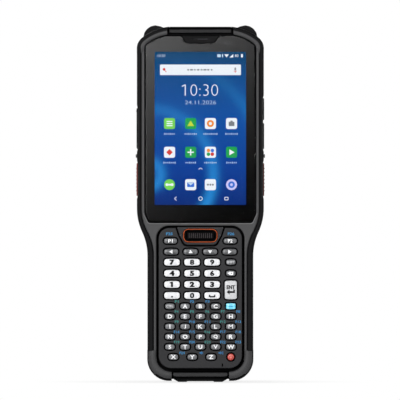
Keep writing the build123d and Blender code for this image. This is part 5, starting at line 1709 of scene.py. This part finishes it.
# camera window: a slot of dark glass with a lens and a lamp, each in a ring of (in from its radius, depth)
cameraSizes = {
    "slot": (18.0, 8.5, 4.24), "depth": 1.0, "drop": 0.15, "round": 0.3,
    "spots": ((4.5, 3.0, "lensGlass"), (-4.5, 1.6, "printWhite")),
    "ring": [(0, 0.3), (0, 0.04), (0.15, 0), (0.45, 0), (0.7, 0.12)],
    "domeIn": 0.75, "dome": [(1, 0.2), (0.7, 0.1), (0.3, 0.06)],     # share of its radius, depth
}
slotOut = edgesOf("camera_window")[1][1]
slotRings = roundRings(slotOut - cameraSizes["depth"], slotOut - cameraSizes["drop"], cameraSizes["round"], 3)
lensParts = [(blockForm(cameraSizes["slot"], (0, cameraRow), slotRings, 12), "lensGlass")]
for x, radius, paint in cameraSizes["spots"]:
    ring = [(radius - inset, slotOut - depth) for inset, depth in cameraSizes["ring"]]
    domeRadius = radius - cameraSizes["domeIn"]
    dome = [(domeRadius * share, slotOut - depth) for share, depth in cameraSizes["dome"]]
    lensParts.append((turnedForm(ring, (x, cameraRow)), "screwSteel"))
    lensParts.append((turnedForm(dome, (x, cameraRow)), paint))
newPiece("cameraWindow", lensParts, face="back", nodes=["camera_window"])

# battery: rounded pack with a shallow panel and finger ridges under the latch
batterySizes = {
    "round": 1.4, "foot": 0.6, "panel": [(3.2, 0), (3.35, 0.12), (3.6, 0.2)],
    "ridge": (18.0, 1.1, 0.54), "ridgeDrops": (6.5, 8.7, 10.9),
    "ridgeRings": [(0, 0.4), (0, 0.05), (0.2, -0.1)],
}
batteryBack, batteryOut = batteryLow[1], batteryHigh[1]
packRings = [(batterySizes["foot"], batteryBack), (0, batteryBack + batterySizes["foot"])]
packRings += roundRings(0, batteryOut, batterySizes["round"], 6)[1:]
packRings += below(batteryOut, batterySizes["panel"])
packForms = [slabForm(batteryLoop, packRings)]
ridgeRings = below(batteryOut, batterySizes["ridgeRings"])
for drop in batterySizes["ridgeDrops"]:
    packForms.append(blockForm(batterySizes["ridge"], (0, batteryHigh[2] - drop), ridgeRings, 4))
newPiece("batteryPack", [(form, "batteryPlastic") for form in packForms], face="back", body="battery_pack",
         nodes=["battery_pack"])

latchSizes = {
    "shape": (16.0, 5.0, 1.2), "drop": 0.3, "round": 0.4,
    "ribs": (4, 1.15), "rib": (11.0, 0.55, 0.26), "ribRings": [(0, 0.6), (0, 0.1), (0.12, 0)],
}
latchLow, latchHigh = edgesOf("battery_latch")
latchOut = latchHigh[1]
latchRings = roundRings(latchLow[1], latchOut - latchSizes["drop"], latchSizes["round"], 3)
latchForms = [blockForm(latchSizes["shape"], (0, latchRow), latchRings, 5)]
ribRings = below(latchOut, latchSizes["ribRings"])
for height in latchRow + spaced(*latchSizes["ribs"]):
    latchForms.append(blockForm(latchSizes["rib"], (0, height), ribRings, 3))
newPiece("batteryLatch", [(form, "barPlastic") for form in latchForms], face="back", body="battery_latch",
         nodes=["battery_latch"])

# speaker grille: a round-ended plate with a row of slots
speakerSizes = {
    "shape": (20.0, 6.0, 2.99), "slots": (6, 2.2), "slot": (1.0, 3.6, 0.49),
    "edge": [(0.3, 0), (0.08, 0.08), (0, 0.3), (0, 1.1)],
    "slotEdge": [(0.12, 0), (0.03, 0.05), (0, 0.15), (0, 1.1)],
}
speakerOut = edgesOf("speaker_grille")[1][1]
slots = [rectLoop(*speakerSizes["slot"], (x, speakerRow), 4) for x in spaced(*speakerSizes["slots"])]
grilleRings, slotEdge = [below(speakerOut, speakerSizes[key]) for key in ("edge", "slotEdge")]
grilleLoop = rectLoop(*speakerSizes["shape"], (0, speakerRow), 10)
grilleForm = plateForm(grilleLoop, slots, grilleRings, [slotEdge] * len(slots))
newPiece("speakerGrille", [(grilleForm, "barPlastic")], face="back",
         nodes=["speaker_grille"])

# screws: turned heads; the socket's radius goes in and out six times round, by a cosine
screwSizes = {
    "drop": 0.15, "head": [(2.05, 1.5), (2.05, 0.35), (1.9, 0.1), (1.6, 0)],     # radius, depth below the top
    "lobe": 0.85, "lobeWave": 0.17, "socket": [(1.08, 0), (1, 0.06), (0.94, 0.9)],     # share, depth
}
turn = np.linspace(0, 2 * pi, 36, endpoint=False)
lobe = screwSizes["lobe"] + screwSizes["lobeWave"] * np.cos(6 * turn)
star = np.stack([lobe * np.cos(turn), lobe * np.sin(turn)], 1)
headLoops = [(circleLoop(radius, count=36), depth) for radius, depth in screwSizes["head"]]
headLoops += [(star * share, depth) for share, depth in screwSizes["socket"]]
screwForms = []
for x, z in rearSizes["screwSpots"]:
    rows = [ringPoints(loop + [-x, z], backOut - screwSizes["drop"] - depth) for loop, depth in headLoops]
    screwForms.append(gridForm(np.stack(rows)))
newPiece("housingScrews", [(form, "screwSteel") for form in screwForms], face="back",
         nodes=["housing_screws"])
print("back details done")

# inner nodes keep their CAD shapes
innerPaints = {
    "keypad_membrane": "siliconeSheet", "keypad_board": "boardGreen", "main_board": "boardGreen",
    "scan_engine": "blackPlasticAndShade", "port_socket": "socketSteel",
}
for node, paint in innerPaints.items():
    data = frame["nodes"][node].data
    data.materials.clear()
    data.materials.append(paints[paint])
print("inner pieces done")

# stage, in metres
stageSizes = {
    "floorHalf": 3.0, "floorTones": ((0.86, 0.86, 0.86, 1), (0.9, 0.9, 0.9, 1)),
    "pool": (0.03, 0.1), "poolTone": 0.75,      # the floor is darker near the object
    "cardHalf": 0.3, "cardAway": 0.9, "cardLow": -0.1, "cardHigh": 0.45,
    "cardRise": 6.25, "cardStart": -0.414, "cardLean": -5.19, "cardStrength": 2.56,
    "worldDull": 0.1, "worldSharp": 0.03,
    "cameraDistance": 8.0, "pixel": 0.5675 * mm, "frame": 400, "across": -0.0002, "up": 0.1033, "sensor": 36,
}


def flatPiece(name, corners, material):
    mesh = bpy.data.meshes.new(name)
    mesh.from_pydata(corners, [], [(0, 1, 2, 3)])
    mesh.materials.append(material)
    return placeObject(name, mesh)


# floor paint: dull, and it glows to the camera except in a soft pool round the object
def floorPaint():
    tree, shader, where = newMaterial("floorPaint", **{"Roughness": 0.9, "Specular IOR Level": 0.1})
    tone = mixColours(tree, noiseNode(tree, where, 6.0), *stageSizes["floorTones"])
    feed(tree, shader.inputs["Base Color"], tone)
    away = vectorMath(tree, "LENGTH", where).outputs["Value"]
    pool = rangeNode(tree, away, stageSizes["pool"], (stageSizes["poolTone"], 1.0))
    pool.interpolation_type = "SMOOTHSTEP"
    paths = tree.nodes.new("ShaderNodeLightPath").outputs
    glow = fedNode(tree, "ShaderNodeEmission", Strength=1.0)
    seen = mathNode(tree, "MULTIPLY", paths["Is Camera Ray"], pool.outputs["Result"])
    mixed = fedNode(tree, "ShaderNodeMixShader", Fac=seen)
    feed(tree, mixed.inputs[1], shader.outputs["BSDF"])
    feed(tree, mixed.inputs[2], glow.outputs["Emission"])
    feed(tree, tree.nodes["Material Output"].inputs["Surface"], mixed.outputs["Shader"])
    return paints["floorPaint"]


# card light: its tone is the square of a slope that rises up and to the left
def cardLight():
    values = {"Emission Strength": stageSizes["cardStrength"], "Base Color": (0, 0, 0, 1)}
    tree, shader, where = newMaterial("cardLight", **values)
    split = splitVector(tree, where)
    slope = mathNode(tree, "MULTIPLY_ADD", split["Z"], stageSizes["cardRise"], stageSizes["cardStart"])
    slope = mathNode(tree, "MULTIPLY_ADD", split["X"], stageSizes["cardLean"], slope, clamp=True)
    level = mathNode(tree, "MULTIPLY", slope, slope)
    feed(tree, shader.inputs["Emission Color"], mixColours(tree, level, clear, (1.0, 1.0, 1.0, 1)))
    return paints["cardLight"]


half = stageSizes["floorHalf"]
floorCorners = [(-half, -half, 0), (half, -half, 0), (half, half, 0), (-half, half, 0)]
floor = flatPiece("studioFloor", floorCorners, floorPaint())
floor.visible_glossy = False

# a soft card before the glass, seen only in reflections
cardHalf, cardY = stageSizes["cardHalf"], -stageSizes["cardAway"]
cardLow, cardHigh = stageSizes["cardLow"], stageSizes["cardHigh"]
cardCorners = [(-cardHalf, cardY, cardLow), (cardHalf, cardY, cardLow), (cardHalf, cardY, cardHigh),
               (-cardHalf, cardY, cardHigh)]
card = flatPiece("softCard", cardCorners, cardLight())
card.visible_camera = card.visible_diffuse = card.visible_shadow = False
card.visible_transmission = card.visible_volume_scatter = False

# the world is white to the camera, dim in dull reflections and dimmer still in sharp ones
world = bpy.data.worlds.new("studio")
bpy.context.scene.world = world
world.use_nodes = True
tree = world.node_tree
background = tree.nodes["Background"]
paths = tree.nodes.new("ShaderNodeLightPath").outputs
sharp = mathNode(tree, "MAXIMUM", paths["Is Glossy Ray"], paths["Is Transmission Ray"])
dull = mathNode(tree, "SUBTRACT", 1.0, sharp)
unseen = mathNode(tree, "MULTIPLY_ADD", dull, stageSizes["worldDull"], stageSizes["worldSharp"])
feed(tree, background.inputs["Strength"], mathNode(tree, "MAXIMUM", paths["Is Camera Ray"], unseen))
background.inputs["Color"].default_value = (1, 1, 1, 1)

# place, side of the square and power; all look at the middle of the object
lamps = {
    "keyLight": ((-0.6, -2.1, 0.5), 0.6, 41),
    "fillLight": ((0.9, -1.9, 0.3), 0.7, 7),
    "sideLeft": ((-2.3, 0.8, 0.35), 0.6, 14),
    "sideRight": ((2.3, 0.8, 0.35), 0.6, 14),
    "rearLeft": ((-0.9, 1.9, 0.8), 0.8, 26),
    "rearRight": ((1.0, 1.8, 0.6), 0.8, 20),
}
lampTarget = Vector((0, 0, 0.1))
for name, (place, size, power) in lamps.items():
    light = bpy.data.lights.new(name, "AREA")
    light.shape = "RECTANGLE"
    light.size = light.size_y = size
    light.energy = power
    lamp = placeObject(name, light)
    lamp.location = place
    lamp.rotation_euler = (lampTarget - Vector(place)).to_track_quat("-Z", "Y").to_euler()

camera = bpy.data.cameras.new("studioCamera")
frameHeight = stageSizes["frame"] * stageSizes["pixel"]
camera.sensor_width = stageSizes["sensor"]
camera.lens = camera.sensor_width * stageSizes["cameraDistance"] / frameHeight
camera.clip_end = 50
cameraObject = placeObject("studioCamera", camera)
cameraY = housingLow[1] * mm - stageSizes["cameraDistance"]
cameraObject.location = (stageSizes["across"], cameraY, stageSizes["up"])
cameraObject.rotation_euler = (pi / 2, 0, 0)
bpy.context.scene.camera = cameraObject
bpy.context.scene.view_settings.view_transform = "Standard"
print("stage done")
